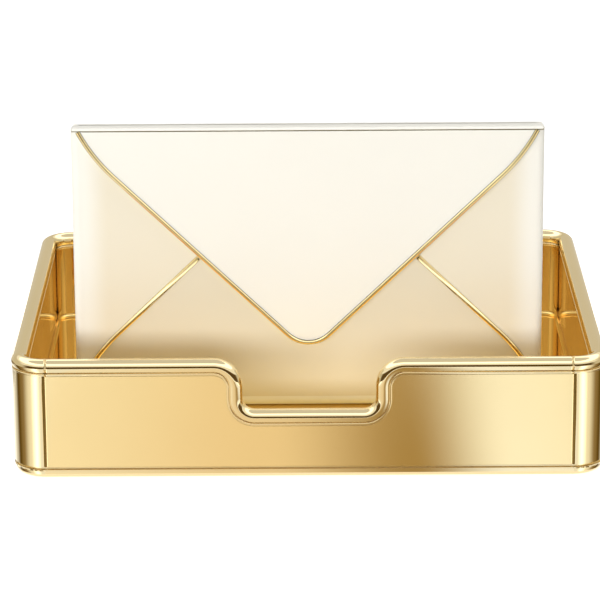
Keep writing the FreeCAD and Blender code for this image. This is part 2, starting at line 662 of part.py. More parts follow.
def flap_edge_bead():
    """Half-round bead along the flap's edge, round the tip and up to both corners."""
    y = FLAP_FACE_Y
    tip, tip_end, bend, middle, end = flap_line(0)
    right = bead_along([tip_end, bend, middle, end], FLAP_BEAD_RADIUS, y)
    left = right.mirror(point(0, 0, 0), X_AXIS)
    centre = point(0, y, CASE_BOTTOM + tip[1] + FLAP_TIP_RADIUS)
    start = half_round(front_point(1, tip, y), Z_AXIS, FLAP_BEAD_RADIUS)
    start.rotate(centre, Y_AXIS, FLAP_ANGLE)
    round_tip = start.revolve(centre, -Y_AXIS, 2 * FLAP_ANGLE)
    above = box(-ENVELOPE_WIDTH, ENVELOPE_WIDTH, y - FLAP_BEAD_RADIUS - OVER, y + OVER,
                ENVELOPE_TOP - FLAP_FOLD_RADIUS, ENVELOPE_TOP + OVER)
    return fused([round_tip, right, left]).cut(above)


# ---------------------------------------------------------------- all nodes

def all_nodes():
    corners = {"front_left": (-1, -1), "front_right": (1, -1), "back_left": (-1, 1), "back_right": (1, 1)}
    sides = {"left": -1, "right": 1}
    nodes = {
        "base_pan": base_pan(),
        "base_screws": base_screws(),
        "liner_standoffs": liner_standoffs(),
        "inner_liner": inner_liner(),
        "front_wall": front_wall(),
        "back_wall": back_wall(),
        "rim_front": rim_front(),
        "rim_back": rim_back(),
        "envelope_shell": case_shell(),
        "envelope_bottom_panel": bottom_panel(),
        "envelope_mounting_bar": mounting_bar(),
        "flap_hinge_rod": flap_hinge_rod(),
        "flap_panel": flap_panel(),
        "flap_edge_bead": flap_edge_bead(),
    }
    for name, side in sides.items():
        nodes[f"{name}_wall"] = side_wall(side)
        nodes[f"rim_{name}"] = rim_side(side)
        nodes[f"envelope_{name}_panel"] = side_panel(side)
        nodes[f"seam_bead_{name}"] = seam_bead(side)
        nodes[f"locating_pin_{name}"] = locating_pin(side * PIN_SPACING / 2, CASE_MID_Y)
    for name, (side_x, side_y) in corners.items():
        nodes[f"corner_post_{name}"] = corner_post(side_x, side_y)
        nodes[f"foot_{name}"] = foot(side_x * (HALF_WIDTH - FOOT_INSET), side_y * (HALF_DEPTH - FOOT_INSET))
    return nodes


def main():
    os.makedirs("parts", exist_ok=True)
    for name, shape in sorted(all_nodes().items()):
        if not shape.isValid() or shape.Volume <= 0:
            raise ValueError(f"{name} isn't a valid solid")
        shape.exportStep(f"parts/{name}.step")
        print(f"{name}: {len(shape.Solids)} solid(s), {shape.Volume:.0f} mm3")


main()
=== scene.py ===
import math

import bmesh
import bpy
import numpy as np
from bpy.props import FloatProperty, FloatVectorProperty, PointerProperty
from bpy.types import Operator, Panel, PropertyGroup
from mathutils import Matrix, Vector
from mathutils.geometry import delaunay_2d_cdt


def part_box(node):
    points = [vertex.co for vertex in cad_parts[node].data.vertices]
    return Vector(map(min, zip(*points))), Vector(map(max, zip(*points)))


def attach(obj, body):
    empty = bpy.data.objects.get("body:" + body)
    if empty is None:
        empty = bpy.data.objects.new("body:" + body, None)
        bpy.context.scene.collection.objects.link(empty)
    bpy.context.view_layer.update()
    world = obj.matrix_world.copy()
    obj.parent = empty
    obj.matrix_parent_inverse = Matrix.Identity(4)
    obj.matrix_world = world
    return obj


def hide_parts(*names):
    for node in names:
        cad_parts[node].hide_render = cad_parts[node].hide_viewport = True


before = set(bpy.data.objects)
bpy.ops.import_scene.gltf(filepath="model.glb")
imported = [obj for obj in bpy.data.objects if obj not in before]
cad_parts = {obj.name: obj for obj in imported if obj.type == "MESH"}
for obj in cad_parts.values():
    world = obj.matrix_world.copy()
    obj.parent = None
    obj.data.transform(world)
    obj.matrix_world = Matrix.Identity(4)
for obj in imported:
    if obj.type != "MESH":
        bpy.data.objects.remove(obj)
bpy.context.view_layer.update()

bl_info = {
    "name": "Letter Tray with Standing Envelope",
    "version": (1, 0, 0),
    "blender": (4, 5, 0),
    "location": "View3D > Sidebar > Letter Tray",
    "description": "Builds the visible forms, the finishes and the studio of a gold letter tray",
    "category": "Object",
}

# -------- sizes, in millimetres

MM = 0.001                  # one millimetre in Blender's metres


def corners_mm(node):
    """Lowest and highest corner of a node of the frame, in millimetres."""
    low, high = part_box(node)
    return np.array(low) / MM, np.array(high) / MM


BACK_WALL = corners_mm("back_wall")
RIGHT_WALL = corners_mm("right_wall")
RIM_BACK = corners_mm("rim_back")
RIM_FRONT = corners_mm("rim_front")
LINER = corners_mm("inner_liner")
PAN = corners_mm("base_pan")
CASE = corners_mm("envelope_shell")
FLAP = corners_mm("flap_panel")
FLAP_BEAD = corners_mm("flap_edge_bead")
SEAM_BEAD = corners_mm("seam_bead_right")
ROD = corners_mm("flap_hinge_rod")

HALF_WIDTH = RIGHT_WALL[1][0]
HALF_DEPTH = BACK_WALL[1][1]
SKIN = HALF_WIDTH - RIGHT_WALL[0][0]
WALL_BOTTOM = BACK_WALL[0][2]
WALL_TOP = BACK_WALL[1][2]
CORNER_RADIUS = HALF_WIDTH - BACK_WALL[1][0]
STRAIGHT_X = HALF_WIDTH - CORNER_RADIUS
STRAIGHT_Y = HALF_DEPTH - CORNER_RADIUS

BEAD_RADIUS = (RIM_BACK[1][1] - RIM_BACK[0][1]) / 2
BEAD_INSET = HALF_DEPTH - (RIM_BACK[1][1] + RIM_BACK[0][1]) / 2
BEAD_Z = RIM_BACK[1][2] - BEAD_RADIUS
BEAD_FOOT = math.radians(-24)   # from the horizontal, where the bead ends in the groove
WALL_THICKNESS = 2 * BEAD_INSET
SKIRT_DROP = BEAD_Z - WALL_TOP
SKIRT_PROUD = 0.15          # how far the skirt stands out past the wall's skins
TONGUE_END = BEAD_Z - RIM_BACK[0][2]
DIP_Z = RIM_FRONT[0][2] + TONGUE_END    # the bead's centre line at the bottom of the dip
DIP_HALF_WIDTH = 34.0
DIP_BEND_RADIUS = 9.3

SEAT_GAP = 0.05             # between pieces that fit into each other
TOP_LAP = 0.5               # how far the sheets' rounded upper edges reach up into the rim's skirt
SHEET_TOP = WALL_TOP + TOP_LAP
POST_EDGE_RADIUS = 0.4
STRIP_THICKNESS = 1.2       # strips of a post, which lap behind the wall sheets
STRIP_LAP = 6.0
STRIP_ROOT = 3.0
RIB_RISE = 0.45             # a rib on each strip stands in the open joint

LINER_INSET = HALF_WIDTH - LINER[1][0]
LINER_BOTTOM = LINER[0][2]
FLOOR_TOP = LINER_BOTTOM + SKIN
COVE_RADIUS = 2.0
PLAN_END = CORNER_RADIUS - 1    # how far a profile round the tray's plan can reach inwards

PAN_BOTTOM = PAN[0][2]
PAN_EDGE_RADIUS = 4.6       # the tray's rounded lower edge
PAN_FLOOR = PAN_BOTTOM + 1.6
HOLLOW_INSET = 5.0          # of the pan's hollow, inside the thick part under the walls
LIP_TOP = PAN[1][2]
LIP_INSET = SKIN + SEAT_GAP
LIP_INNER = LIP_INSET + 1.2
SCREW_HEAD_RADIUS = 2.85
SCREW_HEAD_HEIGHT = 1.4
SCREW_HOLE_RADIUS = 1.6

CASE_FRONT = CASE[0][1]
CASE_BOTTOM = CASE[0][2]
ENVELOPE_HALF = CASE[1][0]
ENVELOPE_TOP = FLAP[1][2]
FLAP_FACE = FLAP[0][1]
FLAP_SKIN = 1.2
FLAP_APEX = 26.6            # where the flap's straight edges would meet, above the bottom
FLAP_ANGLE = math.radians(43.7)
FLAP_TIP_RADIUS = 14.0
FLAP_BEAD_RADIUS = FLAP_FACE - FLAP_BEAD[0][1]
FLAP_END_X = FLAP_BEAD[1][0] - FLAP_BEAD_RADIUS
FLAP_FOLD_RADIUS = ENVELOPE_TOP - FLAP_BEAD[1][2]
FLAP_FOLD = ENVELOPE_TOP - FLAP_FOLD_RADIUS
FOLD_FLAT = 0.15            # flat face between the fold's bend and the crease's edge
STRIP_SINK = 0.1            # how far the top strip reaches down into the pointed front
STRIP_CORNER = 2.5          # rounded rear corners of the flap's top strip
STRIP_INSET = 0.6           # how far the top strip's ends stand back from the case's sides
SEAM_APEX = 122.6           # where the two seams would meet, above the bottom
SEAM_ANGLE = math.radians(44.0)
SEAM_BEAD_RADIUS = CASE_FRONT - SEAM_BEAD[0][1]
SEAM_START_GAP = 0.5        # between the flap's bead and a seam bead's upper end
SEAM_END_X = 104.3
FOLD_BEND_X = 90.0          # where the straight part of a fold ends
FOLD_FLARE_RADIUS = 80.0    # of the curve from there to the corner
HINGE_Y = (ROD[0][1] + ROD[1][1]) / 2
HINGE_Z = (ROD[0][2] + ROD[1][2]) / 2
HINGE_GAP = 0.3             # round the barrel, and at its ends
BARREL_RADIUS = ENVELOPE_TOP - HINGE_Z
BARREL_BORE = (ROD[1][2] - ROD[0][2]) / 2 + SEAT_GAP
STRIP_REAR = HINGE_Y - BARREL_RADIUS - HINGE_GAP
STRIP_UNDER = ENVELOPE_TOP - FLAP_SKIN
EAR_INSET = 1.0
EAR_LENGTH = 2.2
BARREL_HALF = ENVELOPE_HALF - EAR_INSET - EAR_LENGTH - HINGE_GAP

HAIR_ROUND = 0.05           # radii of small edges
FINE_ROUND = 0.1
THIN_ROUND = 0.12
LIP_ROUND = 0.2
SOFT_ROUND = 0.3
TRIM_ROUND = 0.35
PAN_FLOOR_ROUND = 0.5
STRIP_END_ROUND = 0.55
HOLD = 0.02                 # a flat face keeps a narrow strip beside each round, so its shading stays flat
SMOOTH_TURN = math.radians(3)
SMALL_TURN = math.radians(15)
BARREL_STEPS = 48
HOLE_STEPS = 32

SIDES = (("left", -1), ("right", 1))
ENDS = (("front", -1), ("back", 1))
CORNERS = [(f"{end}_{side}", sign_x, sign_y) for end, sign_y in ENDS for side, sign_x in SIDES]


# -------- what a user can change

def linear(hex_colour):
    """Linear RGBA of an sRGB hex colour."""
    channels = [int(hex_colour[i:i + 2], 16) / 255 for i in (1, 3, 5)]
    return tuple(c / 12.92 if c <= 0.04045 else ((c + 0.055) / 1.055) ** 2.4 for c in channels) + (1.0,)


def length_property(name, description, millimetres):
    return FloatProperty(name=name, description=description, default=millimetres * MM, min=0.0,
                         unit="LENGTH", precision=5)


def colour_property(name, description, hex_colour):
    return FloatVectorProperty(name=name, description=description, default=linear(hex_colour), size=4,
                               min=0.0, max=1.0, subtype="COLOR")


def share_property(name, description, value):
    return FloatProperty(name=name, description=description, default=value, min=0.0, max=1.0,
                         subtype="FACTOR")


def power_property(name, description, watts):
    return FloatProperty(name=name, description=description, default=watts, min=0.0, unit="POWER")


class LetterTraySizes(PropertyGroup):
    """Sizes of the small forms that give the tray its lines."""
    joint_gap: length_property("Joint Gap", "Open joint beside a wall sheet", 1.0)
    edge_radius: length_property("Edge Radius", "Rounded edges of the wall sheets and the pan", 0.65)
    rim_gap: length_property("Rim Gap", "Open joint between two lengths of the rim", 0.5)
    rim_end_radius: length_property("Rim End Radius", "Rounded ends of the rim's lengths", 1.7)
    groove_depth: length_property("Groove Depth", "Depth of the groove under the rim's bead", 1.3)
    trim_height: length_property("Trim Height", "Height of the thin trim under the groove", 1.1)
    crease_depth: length_property("Crease Depth", "Depth of the crease under the flap's fold", 0.8)
    crease_height: length_property("Crease Height", "Height of the crease under the flap's fold", 0.5)


class LetterTrayFinishes(PropertyGroup):
    """Colours and roughness of the finishes."""
    polished_colour: colour_property("Polished Gold", "Colour of the rim, the posts and the pan", "#F3DFAE")
    polished_roughness: share_property("Polished Roughness", "Roughness of the polished gold", 0.06)
    satin_colour: colour_property("Satin Gold", "Colour of the wall sheets", "#F9E1A7")
    satin_roughness: share_property("Satin Roughness", "Roughness of the satin gold", 0.17)
    liner_colour: colour_property("Liner Gold", "Colour of the drawn liner", "#E9C77C")
    liner_roughness: share_property("Liner Roughness", "Roughness of the liner", 0.07)
    bead_colour: colour_property("Bead Gold", "Colour of the beads on the envelope", "#FAE6AE")
    # painted shade along both sides of the envelope's beads
    bead_side_shade_colour: colour_property("Bead Painted Shade", "Colour of the painted shade on the beads' sides", "#2A210C")
    # painted shade in the open joints beside the wall sheets
    joint_shade_colour: colour_property("Joint Painted Shade", "Colour of the brass behind the open joints", "#8C7038")
    flap_colour: colour_property("Flap Ivory", "Colour of the flap's lacquer", "#FEFBF0")
    # painted shade in the crease under the flap's fold
    flap_crease_shade_colour: colour_property("Flap Crease Painted Shade", "Painted shade in the crease under the fold", "#857A50")
    side_colour: colour_property("Envelope Cream", "Colour of the envelope's lacquer", "#F6EDD6")
    lower_colour: colour_property("Lower Beige", "Colour of the bottom panel's lacquer", "#EEE4CB")
    steel_colour: colour_property("Zinc Steel", "Colour of the screws, pins and rod", "#B8B9BC")
    rubber_colour: colour_property("Foot Rubber", "Colour of the feet", "#1D1D1F")


class LetterTrayStudio(PropertyGroup):
    """Light of the studio."""
    key_power: power_property("Front Lamp", "Power of the low lamp in front", 24.0)
    back_power: power_property("Back Lamp", "Power of the lamp behind", 12.0)
    side_power: power_property("Side Lamps", "Power of each lamp at the sides", 4.0)
    top_power: power_property("Top Lamp", "Power of the lamp overhead", 5.0)
    bounce_power: power_property("Bounce", "Power of the light that the gold floor throws back", 0.014)
    fill: share_property("Fill Light", "Strength of the even light from all round", 0.38)


def size(name):
    """One of the tray's small sizes, in millimetres."""
    return getattr(bpy.context.scene.letter_tray_sizes, name) / MM


# -------- shapes

def unit(vector):
    """The vector divided by its length."""
    return vector / np.linalg.norm(vector)


def right_of(direction):
    """The direction turned a quarter turn clockwise."""
    return np.array([direction[1], -direction[0]])


def xyz(x, y, z):
    """Points from three coordinates, of which each may be a number or an array."""
    return np.stack(np.broadcast_arrays(x, y, z), axis=-1)


def outline(corners, closed=True):
    """Straight runs joined by tangent arcs. Each corner is (u, v, radius); its arc starts and ends
    radius * tan(turn / 2) from it. Gives the points and the normals to the right of the way round,
    so a loop that runs anticlockwise has its normals outwards."""
    place = np.array([corner[:2] for corner in corners], float)
    points, normals = [], []
    for i, (_, _, radius) in enumerate(corners):
        if not closed and i in (0, len(corners) - 1):
            along = unit(place[1] - place[0]) if i == 0 else unit(place[-1] - place[-2])
            points.append(place[i][None])
            normals.append(right_of(along)[None])
            continue
        before = unit(place[i] - place[i - 1])
        after = unit(place[(i + 1) % len(corners)] - place[i])
        turn = math.atan2(before[0] * after[1] - before[1] * after[0], before @ after)
        cut = radius * math.tan(abs(turn) / 2)
        step = SMOOTH_TURN if radius > 1 else SMALL_TURN
        angles = np.linspace(0, turn, max(3, math.ceil(abs(turn) / step)) + 1)[:, None]
        start = right_of(before)
        rights = np.cos(angles) * start - np.sin(angles) * right_of(start)
        side = math.copysign(radius, turn)
        centre = place[i] - before * cut - side * start
        points += [(place[i] - before * (cut + HOLD))[None], centre + side * rights,
                   (place[i] + after * (cut + HOLD))[None]]
        normals += [rights[:1], rights, rights[-1:]]
    return np.concatenate(points), np.concatenate(normals)


def rectangle(left, low, right, high, radius):
    """Outline of a rectangle with rounded corners."""
    return outline([(left, low, radius), (right, low, radius), (right, high, radius), (left, high, radius)])


def arc(radius, start, end, centre=(0.0, 0.0)):
    """Points and normals of an arc, from one angle to another in radians."""
    steps = max(6, math.ceil(abs(end - start) / SMOOTH_TURN - 1e-6))
    angles = np.linspace(start, end, steps + 1)
    normals = np.stack([np.cos(angles), np.sin(angles)], axis=1)
    return np.array(centre) + radius * normals, normals


def lattice(rows, columns):
    """The numbers of a grid's points."""
    return np.arange(rows * columns).reshape(rows, columns)


def quads(index):
    """The four corners of each cell of a lattice."""
    return np.stack([index[:-1, :-1], index[:-1, 1:], index[1:, 1:], index[1:, :-1]], axis=-1).reshape(-1, 4)


def shell(rows, joined=False, caps=True):
    """Faces over a grid of points, of which each row is a loop. The last row is joined to the first, or
    the first and the last row are filled. The faces are turned outwards by the sign of the volume that
    they hold, which is the sum of a . (b x c) over their triangles."""
    count, wide = rows.shape[:2]
    index = lattice(count, wide)
    if joined:
        index = np.concatenate([index, index[:1]])
    index = np.concatenate([index, index[:, :1]], axis=1)
    cells = quads(index)
    points = rows.reshape(-1, 3)
    a, b, c, d = (points[cells[:, k]] for k in range(4))
    volume = np.sum(a * np.cross(b, c)) + np.sum(a * np.cross(c, d))
    faces = cells.tolist()
    if caps and not joined:
        for loop in (index[0, :wide][::-1], index[-1, :wide]):
            edge = points[loop]
            volume += np.sum(edge.mean(axis=0) * np.cross(edge, np.roll(edge, -1, axis=0)))
            faces.append(loop.tolist())
    if volume < 0:
        faces = [face[::-1] for face in faces]
    return points, faces


def carried(profile, path, across, up, end_radius=0.0):
    """A closed profile carried along an open path: each point is the path's point plus u times across
    plus v times up. Near both ends the profile shrinks along its normals by r - r sin(a) while the path
    advances by r - r cos(a), which rounds the ends."""
    points, normals = profile
    path = np.asarray(path, float)
    across = np.broadcast_to(np.asarray(across, float), path.shape)
    up = np.broadcast_to(np.asarray(up, float), path.shape)
    angles = np.linspace(0, math.pi / 2, 6)
    advance = np.concatenate([[0.0], end_radius * (1 - np.cos(angles))])[:, None]
    shrink = np.concatenate([[end_radius + HOLD], end_radius * (1 - np.sin(angles))])
    start = path[0] + advance * unit(path[1] - path[0])
    end = (path[-1] - advance * unit(path[-1] - path[-2]))[::-1]
    centre = np.concatenate([start, path[1:-1], end])
    inset = np.concatenate([shrink, np.zeros(len(path) - 2), shrink[::-1]])[:, None]
    repeat = [len(start)] + [1] * (len(path) - 2) + [len(end)]
    across, up = np.repeat(across, repeat, axis=0), np.repeat(up, repeat, axis=0)
    u = points[:, 0] - inset * normals[:, 0]
    v = points[:, 1] - inset * normals[:, 1]
    return shell(centre[:, None] + u[..., None] * across[:, None] + v[..., None] * up[:, None])


def new_object(name, data):
    """A new object in the scene."""
    made = bpy.data.objects.new(name, data)
    bpy.context.scene.collection.objects.link(made)
    return made


def mesh_object(name, points, faces, material):
    """A mesh object at the origin, from points in millimetres."""
    mesh = bpy.data.meshes.new(name)
    mesh.from_pydata((np.asarray(points, float) * MM).tolist(), [], faces)
    mesh.materials.append(bpy.data.materials[material])
    return new_object(name, mesh)


def piece(name, shells, finish, body, node):
    """One smooth mesh object from shells, which rides on a body and stands for a node of the frame."""
    points, faces, first = [], [], 0
    for shell_points, shell_faces in shells:
        points.append(shell_points)
        faces += [[first + i for i in face] for face in shell_faces]
        first += len(shell_points)
    made = mesh_object(name, np.concatenate(points), faces, finish)
    made.data.polygons.foreach_set("use_smooth", np.ones(len(faces), bool))
    made.data.update()
    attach(made, body)
    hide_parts(node)
    return made


def finish_nodes(finish, *names):
    """Gives nodes of the frame their material."""
    for name in names:
        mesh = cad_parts[name].data
        mesh.materials.clear()
        mesh.materials.append(bpy.data.materials[finish])


# -------- rim moulding

def rim_profile():
    """Section of the moulding: a round bead, a groove, a thin trim strip with rounded edges, and the
    tongue between the skins. The right half is followed upwards, then the left half is its mirror image."""
    skirt = WALL_THICKNESS / 2 + SKIRT_PROUD
    tongue = WALL_THICKNESS / 2 - SKIN - SEAT_GAP
    groove = BEAD_RADIUS - size("groove_depth")
    trim_top = size("trim_height") - SKIRT_DROP
    foot_x, foot_z = BEAD_RADIUS * math.cos(BEAD_FOOT), BEAD_RADIUS * math.sin(BEAD_FOOT)
    lower = outline([(0, -TONGUE_END, 0), (tongue, -TONGUE_END, SOFT_ROUND),
                     (tongue, -SKIRT_DROP, HAIR_ROUND), (skirt, -SKIRT_DROP, TRIM_ROUND),
                     (skirt, trim_top, TRIM_ROUND), (groove, trim_top, THIN_ROUND),
                     (groove, foot_z, THIN_ROUND), (foot_x, foot_z, 0)], closed=False)
    bead_arc = arc(BEAD_RADIUS, BEAD_FOOT, math.pi / 2)
    halves = [np.concatenate([low[1:-1], high]) for low, high in zip(lower, bead_arc)]
    return [np.concatenate([half, half[-2::-1] * (-1, 1)]) for half in halves]


def dip_corners(drop, top):
    """The dip's four corners from left to right, for a line that lies level at top, and a drop below the
    bead's centre line in the dip."""
    shoulder, low = DIP_HALF_WIDTH + drop, DIP_Z - drop
    tight, wide = DIP_BEND_RADIUS - drop, DIP_BEND_RADIUS + drop
    return [(-shoulder, top, tight), (-shoulder, low, wide), (shoulder, low, wide), (shoulder, top, tight)]


def rim_lengths():
    """The rim's four lengths by name: the section carried along four lines. The front's runs level, bends
    down into the dip, across and up again, the back's is straight, and a side's has a quarter turn at each
    end."""
    y, gap = HALF_DEPTH - BEAD_INSET, size("rim_gap") / 2
    end = STRAIGHT_X - gap
    front, below = outline([(-end, BEAD_Z, 0), *dip_corners(0, BEAD_Z), (end, BEAD_Z, 0)], closed=False)
    lines = {"front": (xyz(front[:, 0], -y, front[:, 1]), (0, -1, 0), xyz(-below[:, 0], 0, -below[:, 1])),
             "back": (np.linspace((-end, y, BEAD_Z), (end, y, BEAD_Z), 3), (0, 1, 0), (0, 0, 1))}
    x, bend, end = HALF_WIDTH - BEAD_INSET, CORNER_RADIUS - BEAD_INSET, STRAIGHT_X + gap
    level, outwards = outline([(end, -y, 0), (x, -y, bend), (x, y, bend), (end, y, 0)], closed=False)
    for side, sign in SIDES:
        lines[side] = (xyz(sign * level[:, 0], level[:, 1], BEAD_Z),
                       xyz(sign * outwards[:, 0], outwards[:, 1], 0), (0, 0, 1))
    profile = rim_profile()
    return {name: carried(profile, *line, size("rim_end_radius")) for name, line in lines.items()}


# -------- outer skin

def post_shells(side_x, side_y):
    """A quarter-round post with rounded upright edges, and the two strips that lap behind the wall
    sheets, each with a rib that closes the open joint: their plans carried upwards."""
    inner_radius, end, edge = CORNER_RADIUS - SKIN, size("joint_gap") / 2, POST_EDGE_RADIUS
    off = end + edge
    along = math.sqrt((CORNER_RADIUS - edge) ** 2 - off ** 2)
    turn, open_turn = math.atan2(off, along), math.asin(end / inner_radius)
    quarter = math.pi / 2
    first = arc(edge, -quarter, turn, (along, off))
    outer = arc(CORNER_RADIUS, turn, quarter - turn)
    last = arc(edge, quarter - turn, math.pi, (off, along))
    inner = arc(inner_radius, quarter - open_turn, open_turn)
    points = np.concatenate([first[0], outer[0][1:-1], last[0], inner[0]])
    normals = np.concatenate([first[1], outer[1][1:-1], last[1], -inner[1]])

    def upright(low, high):
        return np.linspace(*((side_x * STRAIGHT_X, side_y * STRAIGHT_Y, z) for z in (low, high)), 3)

    sheet_path = upright(WALL_BOTTOM + end, SHEET_TOP)
    strip_path = upright(LIP_TOP + SEAT_GAP, RIM_BACK[0][2] - SEAT_GAP)
    outside = inner_radius - SEAT_GAP
    strip = rectangle(-STRIP_LAP, outside - STRIP_THICKNESS, STRIP_ROOT, outside, FINE_ROUND)
    rib = rectangle(SEAT_GAP - end, outside, end - SEAT_GAP, outside + RIB_RISE, HAIR_ROUND)
    x_axis, y_axis = (side_x, 0, 0), (0, side_y, 0)
    shells = [carried((points, normals), sheet_path, x_axis, y_axis, edge)]
    for across, up in ((x_axis, y_axis), (y_axis, x_axis)):
        shells += [carried(strip, strip_path, across, up, FINE_ROUND),
                   carried(rib, sheet_path, across, up, HAIR_ROUND)]
    return shells


def sheet(half, place, u_axis, dip=()):
    """A flat wall sheet one skin thick, with rounded edges: its outline carried inwards through its
    thickness. The outline is a rectangle, with the dip's corners in its upper edge if it has them."""
    gap = size("joint_gap") / 2
    end, bottom, corner = half - gap, WALL_BOTTOM + gap, size("edge_radius") + FINE_ROUND
    shape = outline([(-end, bottom, corner), (end, bottom, corner), (end, SHEET_TOP, corner), *dip,
                     (-end, SHEET_TOP, corner)])
    place = np.array(place)
    path = np.linspace(place, place - SKIN * unit(place), 3)
    return carried(shape, path, u_axis, (0, 0, 1), size("edge_radius"))


# -------- liner

def tray_plan():
    """The tray's outer plan as a loop with outward normals. Its last run is the front, to the right."""
    x, y, r = HALF_WIDTH, HALF_DEPTH, CORNER_RADIUS
    return outline([(x, -y, r), (x, y, r), (-x, y, r), (-x, -y, r)])


def liner_shell():
    """The drawn liner: a profile of (inset, height) carried round the tray's plan. In the front run the
    upper part is ruled between the level line above the cove and the line of the dip."""
    dip, _ = outline([(-STRAIGHT_X, WALL_TOP, 0), *dip_corners(SKIRT_DROP, WALL_TOP),
                      (STRAIGHT_X, WALL_TOP, 0)], closed=False)
    plan, outwards = tray_plan()
    level = np.linspace(-STRAIGHT_X, STRAIGHT_X, len(dip))[1:-1]
    plan = np.concatenate([plan[1:-1], np.stack([level, np.full(len(level), -HALF_DEPTH)], axis=1)])
    outwards = np.concatenate([outwards[1:-1], np.tile((0.0, -1.0), (len(level), 1))])
    profile, _ = outline([(PLAN_END, LINER_BOTTOM, 0), (LINER_INSET, LINER_BOTTOM, COVE_RADIUS + SKIN),
                          (LINER_INSET, WALL_TOP, SOFT_ROUND), (WALL_THICKNESS, WALL_TOP, SOFT_ROUND),
                          (WALL_THICKNESS, FLOOR_TOP, COVE_RADIUS), (PLAN_END, FLOOR_TOP, 0)], closed=False)
    inset, height = profile[:, :1], profile[:, 1:]
    ruled_from = FLOOR_TOP + COVE_RADIUS + 1
    share = np.clip((height - ruled_from) / (WALL_TOP - ruled_from), 0, 1)
    shift_x, shift_z = np.zeros(len(plan)), np.zeros(len(plan))
    shift_x[-len(level):] = dip[1:-1, 0] - level
    shift_z[-len(level):] = dip[1:-1, 1] - WALL_TOP
    return shell(xyz(plan[:, 0] - inset * outwards[:, 0] + share * shift_x,
                     plan[:, 1] - inset * outwards[:, 1], height + share * shift_z))


# -------- base pan

def circle(radius):
    """Points once round a circle, without the last."""
    turns = np.linspace(0, 2 * math.pi, HOLE_STEPS, endpoint=False)
    return radius * np.stack([np.cos(turns), np.sin(turns)], axis=1)


def holed_face(loop, centres, radius, z):
    """A flat face inside a loop with round holes: a triangulation of all the points, without the
    triangles whose middle lies in a hole."""
    points = np.concatenate([loop] + [centre + circle(radius) for centre in centres])
    found = delaunay_2d_cdt(points.tolist(), [], [], 0, 1e-6)
    places, triangles = np.array(found[0]), np.array(found[2])
    middle = places[triangles].mean(axis=1)
    away = np.linalg.norm(middle[:, None] - centres[None], axis=2).min(axis=1)
    kept = triangles[away > radius * math.cos(math.pi / HOLE_STEPS)]
    return xyz(places[:, 0], places[:, 1], z), kept.tolist()


def hole_wall(centre):
    """A countersunk hole: a line of (radius, height) turned round the screw's axis."""
    line = np.array([(SCREW_HEAD_RADIUS, PAN_BOTTOM), (SCREW_HOLE_RADIUS, PAN_BOTTOM + SCREW_HEAD_HEIGHT),
                     (SCREW_HOLE_RADIUS, PAN_FLOOR)])
    x, y = (centre[k] + line[:, :1] * circle(1.0)[:, k] for k in (0, 1))
    return shell(xyz(x, y, line[:, 1:]), caps=False)


def pan_shells():
    """The base pan: a profile of (inset, height) carried round the tray's plan, closed by the underside
    and the inside floor, with four countersunk holes."""
    plan, outwards = tray_plan()
    top = WALL_BOTTOM - size("joint_gap") / 2
    profile, _ = outline([(PLAN_END, PAN_BOTTOM, 0), (0, PAN_BOTTOM, PAN_EDGE_RADIUS),
                          (0, top, size("edge_radius")), (LIP_INSET, top, FINE_ROUND),
                          (LIP_INSET, LIP_TOP, LIP_ROUND), (LIP_INNER, LIP_TOP, LIP_ROUND),
                          (LIP_INNER, WALL_BOTTOM, SOFT_ROUND), (HOLLOW_INSET, WALL_BOTTOM, SOFT_ROUND),
                          (HOLLOW_INSET, PAN_FLOOR, PAN_FLOOR_ROUND), (PLAN_END, PAN_FLOOR, 0)], closed=False)
    inset, height = profile[:, :1], profile[:, 1:]
    rows = xyz(plan[:, 0] - inset * outwards[:, 0], plan[:, 1] - inset * outwards[:, 1], height)
    x, y = corners_mm("base_screws")[1][:2] - SCREW_HEAD_RADIUS
    screws = np.array([(-x, -y), (x, -y), (-x, y), (x, y)])
    return [shell(rows, caps=False), holed_face(rows[0, :, :2], screws, SCREW_HEAD_RADIUS, PAN_BOTTOM),
            holed_face(rows[-1, :, :2], screws, SCREW_HOLE_RADIUS, PAN_FLOOR), *map(hole_wall, screws)]


def weld(made):
    """Joins shells that share edges into one closed mesh, with its faces turned outwards."""
    joined = bmesh.new()
    joined.from_mesh(made.data)
    bmesh.ops.remove_doubles(joined, verts=joined.verts, dist=1e-3 * MM)
    bmesh.ops.recalc_face_normals(joined, faces=joined.faces)
    joined.to_mesh(made.data)
    joined.free()


# -------- envelope: beads and flap

def flare(apex, angle, end_x, out=0.0):
    """A fold rises outwards from apex, and from FOLD_BEND_X on it steepens along an arc that ends at
    end_x, where its heading is asin(dx / r). Gives the corner where the arc's tangents meet, with the
    arc's radius, and the arc's end."""
    radius = FOLD_FLARE_RADIUS + out
    downwards = np.array([math.sin(angle), -math.cos(angle)])
    bend = np.array([FOLD_BEND_X, apex + FOLD_BEND_X * math.tan(angle)])
    centre = bend - FOLD_FLARE_RADIUS * downwards
    last = math.asin((end_x - centre[0]) / radius)
    end = centre + radius * np.array([math.sin(last), -math.cos(last)])
    reach = radius * math.tan((last - angle) / 2)
    corner = centre + radius * downwards + reach * np.array([math.cos(angle), math.sin(angle)])
    return (*corner, radius), (*end, 0.0)


def flap_corners(out):
    """The flap's edge from the left end round the tip to the right end, as corners with radii. An offset
    of out moves the straight edges outwards, so the apex drops by out / cos(angle)."""
    corner, end = flare(FLAP_APEX, FLAP_ANGLE, FLAP_END_X + out, out)
    tip = (0.0, FLAP_APEX - out / math.cos(FLAP_ANGLE), FLAP_TIP_RADIUS + out)
    return [*((-x, z, r) for x, z, r in (end, corner)), tip, corner, end]


